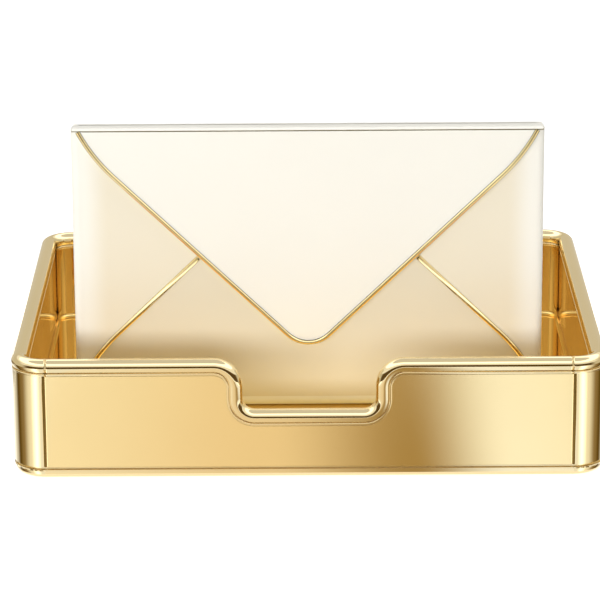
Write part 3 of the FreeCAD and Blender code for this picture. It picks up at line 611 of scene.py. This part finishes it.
def seam_corners(side):
    """A seam bead's line from beside the flap down to the corner, as corners with radii."""
    slopes = math.tan(FLAP_ANGLE) + math.tan(SEAM_ANGLE)
    start_x = (SEAM_APEX - FLAP_APEX) / slopes + (FLAP_BEAD_RADIUS + SEAM_START_GAP) * math.cos(SEAM_ANGLE)
    start = (start_x, start_x * math.tan(SEAM_ANGLE) - SEAM_APEX, 0.0)
    return [(side * x, -z, r) for x, z, r in (start, *flare(-SEAM_APEX, SEAM_ANGLE, SEAM_END_X))]


def bead(node, corners, radius, face_y, body, trim=0.0):
    """A half-round bead along a line of corners in the envelope's front. Each point keeps its share of the
    way across, less a trim on both sides, in an attribute for the finish."""
    section = arc(radius, 0, math.pi)
    line, normals = outline(corners, closed=False)
    points, faces = carried(section, xyz(line[:, 0], face_y, CASE_BOTTOM + line[:, 1]),
                            xyz(normals[:, 0], 0, normals[:, 1]), (0, -1, 0))
    made = piece(f"{node}_wire", [(points, faces)], "Champagne Gold Plated Brass", body, node)
    shares = np.linspace(trim, 1 - trim, len(section[0]))
    values = np.tile(shares, len(points) // len(shares))
    made.data.attributes.new("across", "FLOAT", "POINT").data.foreach_set("value", values)


def flap_front():
    """The flap's pointed front: its outline carried through the sheet's thickness, with rounded edges."""
    low = flap_corners(FLAP_BEAD_RADIUS)
    end_x, top = low[-1][0], FLAP_FOLD - CASE_BOTTOM
    path = np.linspace((0, FLAP_FACE, CASE_BOTTOM), (0, FLAP_FACE + FLAP_SKIN, CASE_BOTTOM), 3)
    shape = outline([(-end_x, top, SOFT_ROUND), *low[1:-1], (end_x, top, SOFT_ROUND)])
    return carried(shape, path, (1, 0, 0), (0, 0, 1), THIN_ROUND)


def flap_strip():
    """The flap's top strip with the fold and the crease at its front: a section of the bent sheet carried
    across the envelope. Near the strip's ends the section gets shorter along an arc, which rounds its
    rear corners."""
    top, under, rear = ENVELOPE_TOP, STRIP_UNDER, STRIP_REAR
    behind, foot = FLAP_FACE + FLAP_SKIN, FLAP_FOLD - STRIP_SINK
    deep, fold_end = FLAP_FACE + size("crease_depth"), FLAP_FOLD + size("crease_height")
    section = outline([(deep, foot, HAIR_ROUND), (behind, foot, HAIR_ROUND), (behind, under, LIP_ROUND),
                       (rear, under, FINE_ROUND), (rear, top, FINE_ROUND),
                       (FLAP_FACE, top, top - fold_end - FOLD_FLAT), (FLAP_FACE, fold_end, FINE_ROUND),
                       (deep, fold_end, HAIR_ROUND)])
    end, turns = ENVELOPE_HALF - STRIP_INSET, np.radians(np.linspace(45, 0, 8))
    steps = end - STRIP_CORNER * (1 - np.sin(turns))
    path = xyz(np.concatenate([[-end], -steps, steps[::-1], [end]]), 0, 0)
    points, faces = carried(section, path, (0, 1, 0), (0, 0, 1), STRIP_END_ROUND)
    past = np.clip(np.abs(points[:, 0]) - end + STRIP_CORNER, 0, STRIP_CORNER)
    share = (points[:, 1] - FLAP_FACE) / (rear - FLAP_FACE)
    points[:, 1] -= share * (STRIP_CORNER - np.sqrt(STRIP_CORNER ** 2 - past ** 2))
    return points, faces


def flap_barrel():
    """The strip's inner part, which runs into the hinge barrel, and the barrel: a section of (x, radius)
    turned round the hinge's axis, so that y and z are the axis's, plus radius times cos(a) and sin(a)."""
    section = rectangle(STRIP_REAR - 1, STRIP_UNDER, HINGE_Y, ENVELOPE_TOP, FINE_ROUND)
    path = np.linspace((-BARREL_HALF, 0, 0), (BARREL_HALF, 0, 0), 3)
    x = BARREL_HALF * np.array([-1, -1, 1, 1])[:, None]
    radius = np.array([BARREL_BORE, BARREL_RADIUS, BARREL_RADIUS, BARREL_BORE])[:, None]
    turns = np.linspace(0, 2 * math.pi, BARREL_STEPS, endpoint=False)
    tube = xyz(x, HINGE_Y + radius * np.cos(turns), HINGE_Z + radius * np.sin(turns))
    return [carried(section, path, (0, 1, 0), (0, 0, 1), FINE_ROUND), shell(tube, joined=True)]


# -------- finishes

COLOUR_MIX = {"data_type": "RGBA"}
SMOOTH = {"interpolation_type": "SMOOTHSTEP"}
FIRST, SECOND, MIXED = 6, 7, 2      # a Mix node's two colour inputs and its colour output
HIGHLIGHT_FROM = 92.0                    # from the middle, where the painted highlight towards the envelope's sides starts
HIGHLIGHT_TO = 105.0


def add(tree, kind, settings=None, inputs=None, links=None):
    """Adds a shader node, sets its settings and inputs, and links inputs from (node, output) pairs."""
    made = tree.nodes.new("ShaderNode" + kind)
    for name, value in (settings or {}).items():
        setattr(made, name, value)
    for name, value in (inputs or {}).items():
        made.inputs[name].default_value = value
    for name, (source, output) in (links or {}).items():
        tree.links.new(source.outputs[output], made.inputs[name])
    return made


def empty_tree(owner):
    """The cleared nodes of a new material or world."""
    owner.use_nodes = True
    owner.node_tree.nodes.clear()
    return owner.node_tree


def textured(name, *noises):
    """A new material with Object coordinates, and a noise for each (width in millimetres, detail)."""
    tree = empty_tree(bpy.data.materials.new(name))
    place = add(tree, "TexCoord")
    made = [add(tree, "TexNoise", inputs={"Scale": 1 / (width * MM), "Detail": detail},
                links={"Vector": (place, "Object")}) for width, detail in noises]
    return tree, place, *made


def darker(colour, share):
    """A share of a linear colour's light."""
    return tuple(channel * share for channel in colour[:3]) + (1.0,)


def surfaced(tree, tint, grain, strength, depth_mm, inputs, **links):
    """Ends a material: the relief of its grain, its surface and the output."""
    relief = add(tree, "Bump", inputs={"Strength": strength, "Distance": depth_mm * MM},
                 links={"Height": (grain, "Fac")})
    surface = add(tree, "BsdfPrincipled", inputs=inputs,
                  links={"Base Color": (tint, MIXED), "Normal": (relief, "Normal"), **links})
    add(tree, "OutputMaterial", links={"Surface": (surface, "BSDF")})


def metal(name, colour, roughness, spread, grain_mm, bump_mm, drift=0.97, painted_shade=None):
    """A bare or plated metal. Clouds 30 mm wide drift its colour and roughness, as hand buffing leaves them,
    and a fine grain breaks its relief. A painted shade colour darkens the two sides of a bead, as painted
    shade along its edges, and fades from 0.08 to 0.27 of the way across."""
    tree, _, cloud, grain = textured(name, (30.0, 3.0), (grain_mm, 2.0))
    both = add(tree, "Math", {"operation": "MULTIPLY_ADD"}, {1: 0.5}, {0: (grain, "Fac"), 2: (cloud, "Fac")})
    rough = add(tree, "MapRange", None, {"From Min": 0.4, "From Max": 1.1, "To Min": roughness - spread,
                                         "To Max": roughness + spread}, {"Value": (both, "Value")})
    tint = add(tree, "Mix", COLOUR_MIX, {FIRST: tuple(colour), SECOND: darker(colour, drift)},
               {0: (both, "Value")})
    # painted shade: darkens both sides of a bead
    if painted_shade is not None:
        across = add(tree, "Attribute", {"attribute_name": "across"})
        side = add(tree, "Math", {"operation": "PINGPONG"}, {1: 0.5}, {0: (across, "Fac")})
        share = add(tree, "MapRange", SMOOTH,
                    {"From Min": 0.08, "From Max": 0.27, "To Min": 1.0, "To Max": 0.0},
                    {"Value": (side, "Value")})
        tint = add(tree, "Mix", COLOUR_MIX, {SECOND: tuple(painted_shade)},
                   {0: (share, "Result"), FIRST: (tint, MIXED)})
    surfaced(tree, tint, grain, 1.0, bump_mm, {"Metallic": 1.0}, Roughness=(rough, "Result"))


def lacquer(name, colour, coat, painted_shade=None, painted_highlight=None):
    """Lacquer sprayed on sheet metal and baked. Clouds 45 mm wide drift its colour, and orange peel 0.9 mm
    wide waves its gloss a little under a clear coat. A painted shade, given by its colour and its middle,
    half height and face in millimetres, darkens the crease under the flap's fold. A painted highlight colour
    makes the lacquer paler towards the sides."""
    tree, place, cloud, peel = textured(name, (45.0, 2.0), (0.9, 1.0))
    rough = add(tree, "MapRange", None, {"To Min": 0.41, "To Max": 0.49}, {"Value": (cloud, "Fac")})
    tint = add(tree, "Mix", COLOUR_MIX, {FIRST: tuple(colour), SECOND: darker(colour, 0.97)},
               {0: (cloud, "Fac")})
    # painted highlight: the lacquer turns paler towards the envelope's sides
    if painted_highlight is not None:
        parts = add(tree, "SeparateXYZ", links={"Vector": (place, "Object")})
        out = add(tree, "Math", {"operation": "ABSOLUTE"}, links={0: (parts, "X")})
        share = add(tree, "MapRange", SMOOTH,
                    {"From Min": HIGHLIGHT_FROM * MM, "From Max": HIGHLIGHT_TO * MM}, {"Value": (out, "Value")})
        tint = add(tree, "Mix", COLOUR_MIX, {SECOND: tuple(painted_highlight)},
                   {0: (share, "Result"), FIRST: (tint, MIXED)})
    # painted shade: darkens the crease under the flap's fold
    if painted_shade is not None:
        crease_shade, middle, half, face = painted_shade
        parts = add(tree, "SeparateXYZ", links={"Vector": (place, "Object")})
        level = add(tree, "Math", {"operation": "COMPARE"}, {1: middle * MM, 2: half * MM},
                    {0: (parts, "Z")})
        deep = add(tree, "Math", {"operation": "GREATER_THAN"}, {1: face * MM}, {0: (parts, "Y")})
        share = add(tree, "Math", {"operation": "MULTIPLY"}, None, {0: (level, "Value"), 1: (deep, "Value")})
        tint = add(tree, "Mix", COLOUR_MIX, {SECOND: tuple(crease_shade)},
                   {0: (share, "Value"), FIRST: (tint, MIXED)})
    surfaced(tree, tint, peel, 0.6, 0.004, {"Coat Weight": coat, "Coat Roughness": 0.12},
             Roughness=(rough, "Result"))


def rubber(name, colour):
    """Moulded rubber: black, matt and finely grained by its mould."""
    tree, _, grain = textured(name, (0.4, 2.0))
    tint = add(tree, "Mix", COLOUR_MIX, {FIRST: tuple(colour), SECOND: darker(colour, 0.7)},
               {0: (grain, "Fac")})
    surfaced(tree, tint, grain, 0.5, 0.05, {"Roughness": 0.85})


# -------- studio

FRONT_CARD_HALF = 128.0
FRONT_CARD_REACH = (0.5, 230.0)     # of its two edges from the wall
FRONT_CARD_STEPS = 24
FAN_LENGTH = 330.0
FAN_STEPS = 35
FAN_RANGE = (2.0, 78.0)     # of the posts' normals from the front, in degrees
FLOOR_CARD_Z = 0.4
RING_STEPS = 72
FLOOR_REACH = 4000.0

# Strength of each card, and its stops of (share, colour)
CARD_COLOURS = {
    "Graded Front Card": (1.4, ((0.0, "#E0DCD6"), (0.42, "#D4C6B2"), (0.69, "#968058"), (0.87, "#E6ECFA"),
                                (1.0, "#E6E9F2"))),
    "Graded Post Card": (2.2, ((0.08, "#B4B6BA"), (0.17, "#FFFFFF"), (0.29, "#B4B2AC"), (0.47, "#665638"),
                               (0.58, "#44340F"), (0.70, "#A0A0A2"), (0.8, "#C4C8D0"))),
    "Graded Horizon Card": (1.0, ((0.0, "#5E4B2C"), (0.30, "#5E4B2C"), (0.42, "#D6D0C2"), (1.0, "#D6D0C2"))),
    "Graded Back Card": (1.0, ((0.0, "#FFFFFF"), (0.40, "#FFFFFF"), (0.55, "#D6D0C2"), (1.0, "#D6D0C2"))),
    "Softbox Card": (1.9, ((0.0, "#FFFFFF"),)),
    "Grey Ceiling Card": (1.0, ((0.0, "#DCDCE0"),)),
}
# Radius and height of the first edge of each ring, then of its second edge
RINGS = (
    ("horizon_floor_card", "Graded Horizon Card", (900, 0.3), (460, 0.3)),
    ("horizon_card", "Graded Horizon Card", (900, 0.5), (900, 300)),
    ("back_card", "Graded Back Card", (950, 250), (950, 520)),
    ("softbox_card", "Softbox Card", (1300, 960), (1300, 2050)),
    ("ceiling_card", "Grey Ceiling Card", (1300, 2060), (0.001, 2060)),
)
# Place and target in metres, size, power and colour of each lamp
LAMPS = (
    ("front_lamp", (-0.6, -1.8, 0.36), (0, 0, 0.08), (2.2, 0.3), "key_power", "#FFFFFF"),
    ("back_lamp", (0, 1.8, 0.6), (0, 0, 0.08), (2.2, 0.8), "back_power", "#FFFFFF"),
    ("top_lamp", (0, 0, 1.6), (0, 0, 0), (1.2, 1.2), "top_power", "#FFFFFF"),
    ("left_lamp", (-1.6, 0, 0.45), (0, 0, 0.08), (1.0, 0.8), "side_power", "#FFFFFF"),
    ("right_lamp", (1.6, 0, 0.45), (0, 0, 0.08), (1.0, 0.8), "side_power", "#FFFFFF"),
    ("bounce_lamp", (0, -0.065, 0.015), (0, -0.045, 0.034), (0.23, 0.02), "bounce_power", "#FFDF66"),
)
CAMERA_PLACE = (-0.00393, -1.5158, 0.5157)
CAMERA_TILT = math.radians(73.0)
CAMERA_ROLL = math.radians(-0.324)
CAMERA_LENS = 197.4
CAMERA_SENSOR = 36.0


def card(name, material, points, shares):
    """A strip of cells between pairs of points, which only reflections show."""
    made = mesh_object(name, points, quads(lattice(len(points) // 2, 2)).tolist(), material)
    made.data.attributes.new("share", "FLOAT", "POINT").data.foreach_set("value", shares)
    for ray in ("camera", "diffuse", "shadow", "transmission"):
        setattr(made, f"visible_{ray}", False)


def seen_directly(tree):
    """1 for camera, glossy and transmission rays, 0 for the rays that only light things."""
    rays = add(tree, "LightPath")
    seen = add(tree, "Math", {"operation": "MAXIMUM"}, None,
               {0: (rays, "Is Camera Ray"), 1: (rays, "Is Glossy Ray")})
    return add(tree, "Math", {"operation": "MAXIMUM"}, None,
               {0: (seen, "Value"), 1: (rays, "Is Transmission Ray")})


def floor_material(name):
    """Pale seamless paper that is white to the camera and in reflections, and keeps the shadow."""
    tree = empty_tree(bpy.data.materials.new(name))
    seen = seen_directly(tree)
    glow = add(tree, "Emission", inputs={"Color": (1, 1, 1, 1), "Strength": 0.72})
    none = add(tree, "Emission", inputs={"Strength": 0.0})
    lift = add(tree, "MixShader", None, None,
               {"Fac": (seen, "Value"), 1: (none, "Emission"), 2: (glow, "Emission")})
    matt = add(tree, "BsdfDiffuse", inputs={"Color": linear("#D4D4D4")})
    both = add(tree, "AddShader", links={0: (lift, "Shader"), 1: (matt, "BSDF")})
    add(tree, "OutputMaterial", links={"Surface": (both, "Shader")})


def card_material(name, strength, stops):
    """Card that glows in its only colour, or in colours that blend from stop to stop of its share."""
    tree = empty_tree(bpy.data.materials.new(name))
    if len(stops) == 1:
        glow = add(tree, "Emission", inputs={"Color": linear(stops[0][1]), "Strength": strength})
    else:
        share = add(tree, "Attribute", {"attribute_name": "share"})
        ramp = add(tree, "ValToRGB", links={"Fac": (share, "Fac")})
        ramp.color_ramp.interpolation = "EASE"
        elements = ramp.color_ramp.elements
        while len(elements) < len(stops):
            elements.new(0.5)
        for element, (position, colour) in zip(elements, stops):
            element.position = position
            element.color = linear(colour)
        glow = add(tree, "Emission", inputs={"Strength": strength}, links={"Color": (ramp, "Color")})
    add(tree, "OutputMaterial", links={"Surface": (glow, "Emission")})


def front_card(end):
    """A strip on the floor before the front wall or the back wall. Its share runs from left to right."""
    shares = np.linspace(0, 1, FRONT_CARD_STEPS + 1)
    y = end * (HALF_DEPTH + np.array(FRONT_CARD_REACH))
    points = xyz((2 * shares[:, None] - 1) * FRONT_CARD_HALF, y, FLOOR_CARD_Z)
    return points.reshape(-1, 3), np.repeat(shares, 2)


def post_fan(side, end):
    """A fan on the floor round a post. The point at (a, t) is the post's surface at normal angle a, plus
    t along the direction at 2a, where the post's upright line reflects to, so each line of the post shows
    one share of the fan. The fan stops at the tray's middle."""
    angles = np.radians(np.linspace(*FAN_RANGE, FAN_STEPS + 1))
    heading = np.stack([np.sin(2 * angles), np.cos(2 * angles)], axis=1)
    start = CORNER_RADIUS * np.stack([np.sin(angles), np.cos(angles)], axis=1) + (STRAIGHT_X, STRAIGHT_Y)
    reach = np.where(heading[:, 1] < 0, (start[:, 1] - 1) / np.maximum(-heading[:, 1], 1e-6), FAN_LENGTH)
    far = start + heading * np.minimum(reach, FAN_LENGTH)[:, None]
    x, y = (np.stack([start[:, k], far[:, k]], axis=1) * sign for k, sign in ((0, side), (1, end)))
    return xyz(x, y, FLOOR_CARD_Z + 0.1).reshape(-1, 3), np.repeat(angles / math.radians(90), 2)


def ring(first, second):
    """A ring round the tray between two circles of (radius, height): x is radius times sin(a), y is
    minus radius times cos(a). Its share runs from 0 in front to 1 behind, on both sides."""
    turns = np.linspace(-math.pi, math.pi, RING_STEPS + 1)[:, None]
    radius, height = np.array([first, second], float).T
    points = xyz(radius * np.sin(turns), -radius * np.cos(turns), height)
    return points.reshape(-1, 3), np.repeat(np.abs(turns) / math.pi, 2)


def make_cards():
    """Cards that give the polished forms their dark and bright lines: graded strips on the floor, a dark
    horizon all round, a bright softbox all round above it and a grey ceiling."""
    for name, (strength, stops) in CARD_COLOURS.items():
        card_material(name, strength, stops)
    for name, end in ENDS:
        card(f"{name}_floor_card", "Graded Front Card", *front_card(end))
        for side_name, side in SIDES:
            card(f"{name}_{side_name}_fan_card", "Graded Post Card", *post_fan(side, end))
    for name, material, first, second in RINGS:
        card(name, material, *ring(first, second))


def lamp(name, place, target, shape, power, colour):
    """A rectangular lamp that lights matt surfaces. Reflections show the cards in its place."""
    data = bpy.data.lights.new(name, "AREA")
    data.shape = "RECTANGLE"
    data.size, data.size_y = shape
    data.energy = power
    data.color = linear(colour)[:3]
    made = new_object(name, data)
    made.location = place
    made.rotation_euler = (Vector(target) - Vector(place)).to_track_quat("-Z", "Y").to_euler()
    made.visible_glossy = False
    made.visible_camera = False


def make_world(fill):
    """White all round, which lights matt surfaces less than it shows in reflections."""
    world = bpy.data.worlds.new("White Studio")
    bpy.context.scene.world = world
    tree = empty_tree(world)
    strength = add(tree, "MapRange", None, {"To Min": fill, "To Max": 1.0},
                   {"Value": (seen_directly(tree), "Value")})
    light = add(tree, "Background", None, {"Color": (1, 1, 1, 1)}, {"Strength": (strength, "Result")})
    add(tree, "OutputWorld", links={"Surface": (light, "Background")})


def make_camera():
    """The camera: a long lens, tilted down and rolled a little."""
    data = bpy.data.cameras.new("camera")
    data.lens = CAMERA_LENS
    data.sensor_width = CAMERA_SENSOR
    made = new_object("camera", data)
    made.matrix_world = (Matrix.Translation(CAMERA_PLACE) @ Matrix.Rotation(CAMERA_TILT, 4, "X")
                         @ Matrix.Rotation(CAMERA_ROLL, 4, "Z"))
    bpy.context.scene.camera = made


# -------- operators

class LETTERTRAY_OT_finishes(Operator):
    """Makes the finishes of all the pieces"""
    bl_idname = "letter_tray.finishes"
    bl_label = "Finishes"

    def execute(self, context):
        f = context.scene.letter_tray_finishes
        # Brass, plated with gold and buffed to a mirror: clear lines of light and dark
        metal("Polished Gold Plated Brass", f.polished_colour, f.polished_roughness, 0.02, 0.5, 0.0005)
        # Brass sheet, finely blasted before it was plated: soft broad reflections with a fine sparkle.
        # The blast's grain of 0.1 mm is drawn 0.7 mm wide, so that it shows
        metal("Satin Gold Plated Brass", f.satin_colour, f.satin_roughness, 0.03, 0.7, 0.012)
        # Drawn brass, plated without buffing: a deeper gold that blurs what it mirrors
        metal("Drawn Gold Plated Brass", f.liner_colour, f.liner_roughness, 0.03, 0.6, 0.001)
        # Half-round brass wire, plated a paler gold: a bright crown between two sides darkened with painted
        # shade
        metal("Champagne Gold Plated Brass", f.bead_colour, 0.14, 0.02, 0.5, 0.0005, painted_shade=f.bead_side_shade_colour)
        # Brass that the wall sheets cover, neither buffed nor plated, and dark and dull to paint the shade in
        # the open joints
        metal("Dull Bare Brass", f.joint_shade_colour, 0.5, 0.05, 0.5, 0.002)
        # Turned steel with bright zinc plating: a cool grey with a soft shine
        metal("Zinc Plated Steel", f.steel_colour, 0.32, 0.05, 0.3, 0.004, drift=0.9)
        # Baked lacquer on sheet metal: pale colour with a soft gloss, with painted shade in the flap's crease
        # and a painted highlight towards the envelope's sides
        # the Ivory lacquer paints shade into the crease under the flap's fold
        half = size("crease_height") / 2
        painted_shade = (f.flap_crease_shade_colour, FLAP_FOLD + half, half + HAIR_ROUND, FLAP_FACE + FINE_ROUND)
        lacquer("Ivory Baked Lacquer", f.flap_colour, 0.1, painted_shade=painted_shade)
        # the Cream lacquer paints a highlight towards the envelope's sides
        lacquer("Cream Baked Lacquer", f.side_colour, 0.25, painted_highlight=f.flap_colour)
        lacquer("Beige Baked Lacquer", f.lower_colour, 0.25)
        # Rubber, moulded: takes the light without a shine
        rubber("Black Moulded Rubber", f.rubber_colour)
        return {"FINISHED"}


class LETTERTRAY_OT_rim(Operator):
    """Makes the four lengths of the rim's moulding"""
    bl_idname = "letter_tray.rim"
    bl_label = "Rim"

    def execute(self, context):
        for name, made in rim_lengths().items():
            piece(f"rim_{name}_moulding", [made], "Polished Gold Plated Brass", "tray", f"rim_{name}")
        return {"FINISHED"}


class LETTERTRAY_OT_walls(Operator):
    """Makes the outer skin: four wall sheets and four corner posts"""
    bl_idname = "letter_tray.walls"
    bl_label = "Walls and Posts"

    def execute(self, context):
        dip = dip_corners(SKIRT_DROP - TOP_LAP, SHEET_TOP)[::-1]
        sheets = {"front": sheet(STRAIGHT_X, (0, -HALF_DEPTH, 0), (1, 0, 0), dip),
                  "back": sheet(STRAIGHT_X, (0, HALF_DEPTH, 0), (1, 0, 0))}
        for side, sign in SIDES:
            sheets[side] = sheet(STRAIGHT_Y, (sign * HALF_WIDTH, 0, 0), (0, 1, 0))
        for name, made in sheets.items():
            piece(f"{name}_wall_sheet", [made], "Satin Gold Plated Brass", "tray", f"{name}_wall")
        for corner, sign_x, sign_y in CORNERS:
            shells = post_shells(sign_x, sign_y)
            node = f"corner_post_{corner}"
            mesh = piece(f"{node}_polished", shells, "Polished Gold Plated Brass", "tray", node).data
            # the strips and ribs behind the open joints get the dark brass, which paints the joints' shade
            mesh.materials.append(bpy.data.materials["Dull Bare Brass"])
            strip = np.arange(len(mesh.polygons)) >= len(shells[0][1])
            mesh.polygons.foreach_set("material_index", strip.astype(int))
        return {"FINISHED"}


class LETTERTRAY_OT_liner(Operator):
    """Makes the drawn liner with the raised floor"""
    bl_idname = "letter_tray.liner"
    bl_label = "Liner"

    def execute(self, context):
        piece("liner_drawn", [liner_shell()], "Drawn Gold Plated Brass", "tray", "inner_liner")
        return {"FINISHED"}


class LETTERTRAY_OT_base(Operator):
    """Makes the base pan, and finishes what is fixed to it"""
    bl_idname = "letter_tray.base"
    bl_label = "Base"

    def execute(self, context):
        weld(piece("base_pan_cast", pan_shells(), "Polished Gold Plated Brass", "tray", "base_pan"))
        finish_nodes("Zinc Plated Steel", "base_screws", "liner_standoffs", "locating_pin_left",
                     "locating_pin_right")
        finish_nodes("Black Moulded Rubber", *(f"foot_{corner}" for corner, _, _ in CORNERS))
        return {"FINISHED"}


class LETTERTRAY_OT_envelope(Operator):
    """Makes the seam beads, and finishes the envelope's case, panels, bar and rod"""
    bl_idname = "letter_tray.envelope"
    bl_label = "Envelope"

    def execute(self, context):
        for side, sign in SIDES:
            bead(f"seam_bead_{side}", seam_corners(sign), SEAM_BEAD_RADIUS, CASE_FRONT, "envelope", trim=0.13)
        finish_nodes("Cream Baked Lacquer", "envelope_left_panel", "envelope_right_panel")
        finish_nodes("Ivory Baked Lacquer", "envelope_shell")
        finish_nodes("Beige Baked Lacquer", "envelope_bottom_panel")
        finish_nodes("Zinc Plated Steel", "envelope_mounting_bar", "flap_hinge_rod")
        return {"FINISHED"}


class LETTERTRAY_OT_flap(Operator):
    """Makes the flap with its fold and hinge barrel, and the bead along its edge"""
    bl_idname = "letter_tray.flap"
    bl_label = "Flap"

    def execute(self, context):
        piece("flap_folded", [flap_front(), flap_strip(), *flap_barrel()], "Ivory Baked Lacquer", "flap",
              "flap_panel")
        bead("flap_edge_bead", flap_corners(0.0), FLAP_BEAD_RADIUS, FLAP_FACE, "flap")
        return {"FINISHED"}


class LETTERTRAY_OT_stage(Operator):
    """Makes the floor, the cards, the light and the camera"""
    bl_idname = "letter_tray.stage"
    bl_label = "Stage"

    def execute(self, context):
        studio = context.scene.letter_tray_studio
        paper, reach = "Pale Seamless Paper", FLOOR_REACH
        floor_material(paper)
        corners = [(-reach, -reach, 0), (reach, -reach, 0), (reach, reach, 0), (-reach, reach, 0)]
        mesh_object("floor", corners, [(0, 1, 2, 3)], paper)
        make_cards()
        make_world(studio.fill)
        for name, place, target, shape, power, colour in LAMPS:
            lamp(name, place, target, shape, getattr(studio, power), colour)
        make_camera()
        context.scene.view_settings.view_transform = "Standard"
        return {"FINISHED"}


class LETTERTRAY_PT_parts(Panel):
    """Lists the tray's sizes, finishes and light, and the operators that make its pieces"""
    bl_idname = "LETTERTRAY_PT_parts"
    bl_label = "Letter Tray"
    bl_space_type = "VIEW_3D"
    bl_region_type = "UI"
    bl_category = "Letter Tray"

    def draw(self, context):
        for group, holder in PROPERTY_GROUPS.items():
            box = self.layout.box()
            for name in group.__annotations__:
                box.prop(getattr(context.scene, holder), name)
        column = self.layout.column(align=True)
        for operator in OPERATORS:
            column.operator(operator.bl_idname)


PROPERTY_GROUPS = {
    LetterTraySizes: "letter_tray_sizes",
    LetterTrayFinishes: "letter_tray_finishes",
    LetterTrayStudio: "letter_tray_studio",
}
OPERATORS = (LETTERTRAY_OT_finishes, LETTERTRAY_OT_rim, LETTERTRAY_OT_walls, LETTERTRAY_OT_liner,
             LETTERTRAY_OT_base, LETTERTRAY_OT_envelope, LETTERTRAY_OT_flap, LETTERTRAY_OT_stage)
CLASSES = (*PROPERTY_GROUPS, *OPERATORS, LETTERTRAY_PT_parts)


def register():
    for made in CLASSES:
        bpy.utils.register_class(made)
    for group, name in PROPERTY_GROUPS.items():
        setattr(bpy.types.Scene, name, PointerProperty(type=group))


def unregister():
    for name in PROPERTY_GROUPS.values():
        delattr(bpy.types.Scene, name)
    for made in reversed(CLASSES):
        bpy.utils.unregister_class(made)


def main():
    """Makes everything in order."""
    register()
    for operator in OPERATORS:
        group, name = operator.bl_idname.split(".")
        getattr(getattr(bpy.ops, group), name)()


if __name__ == "__main__":
    main()
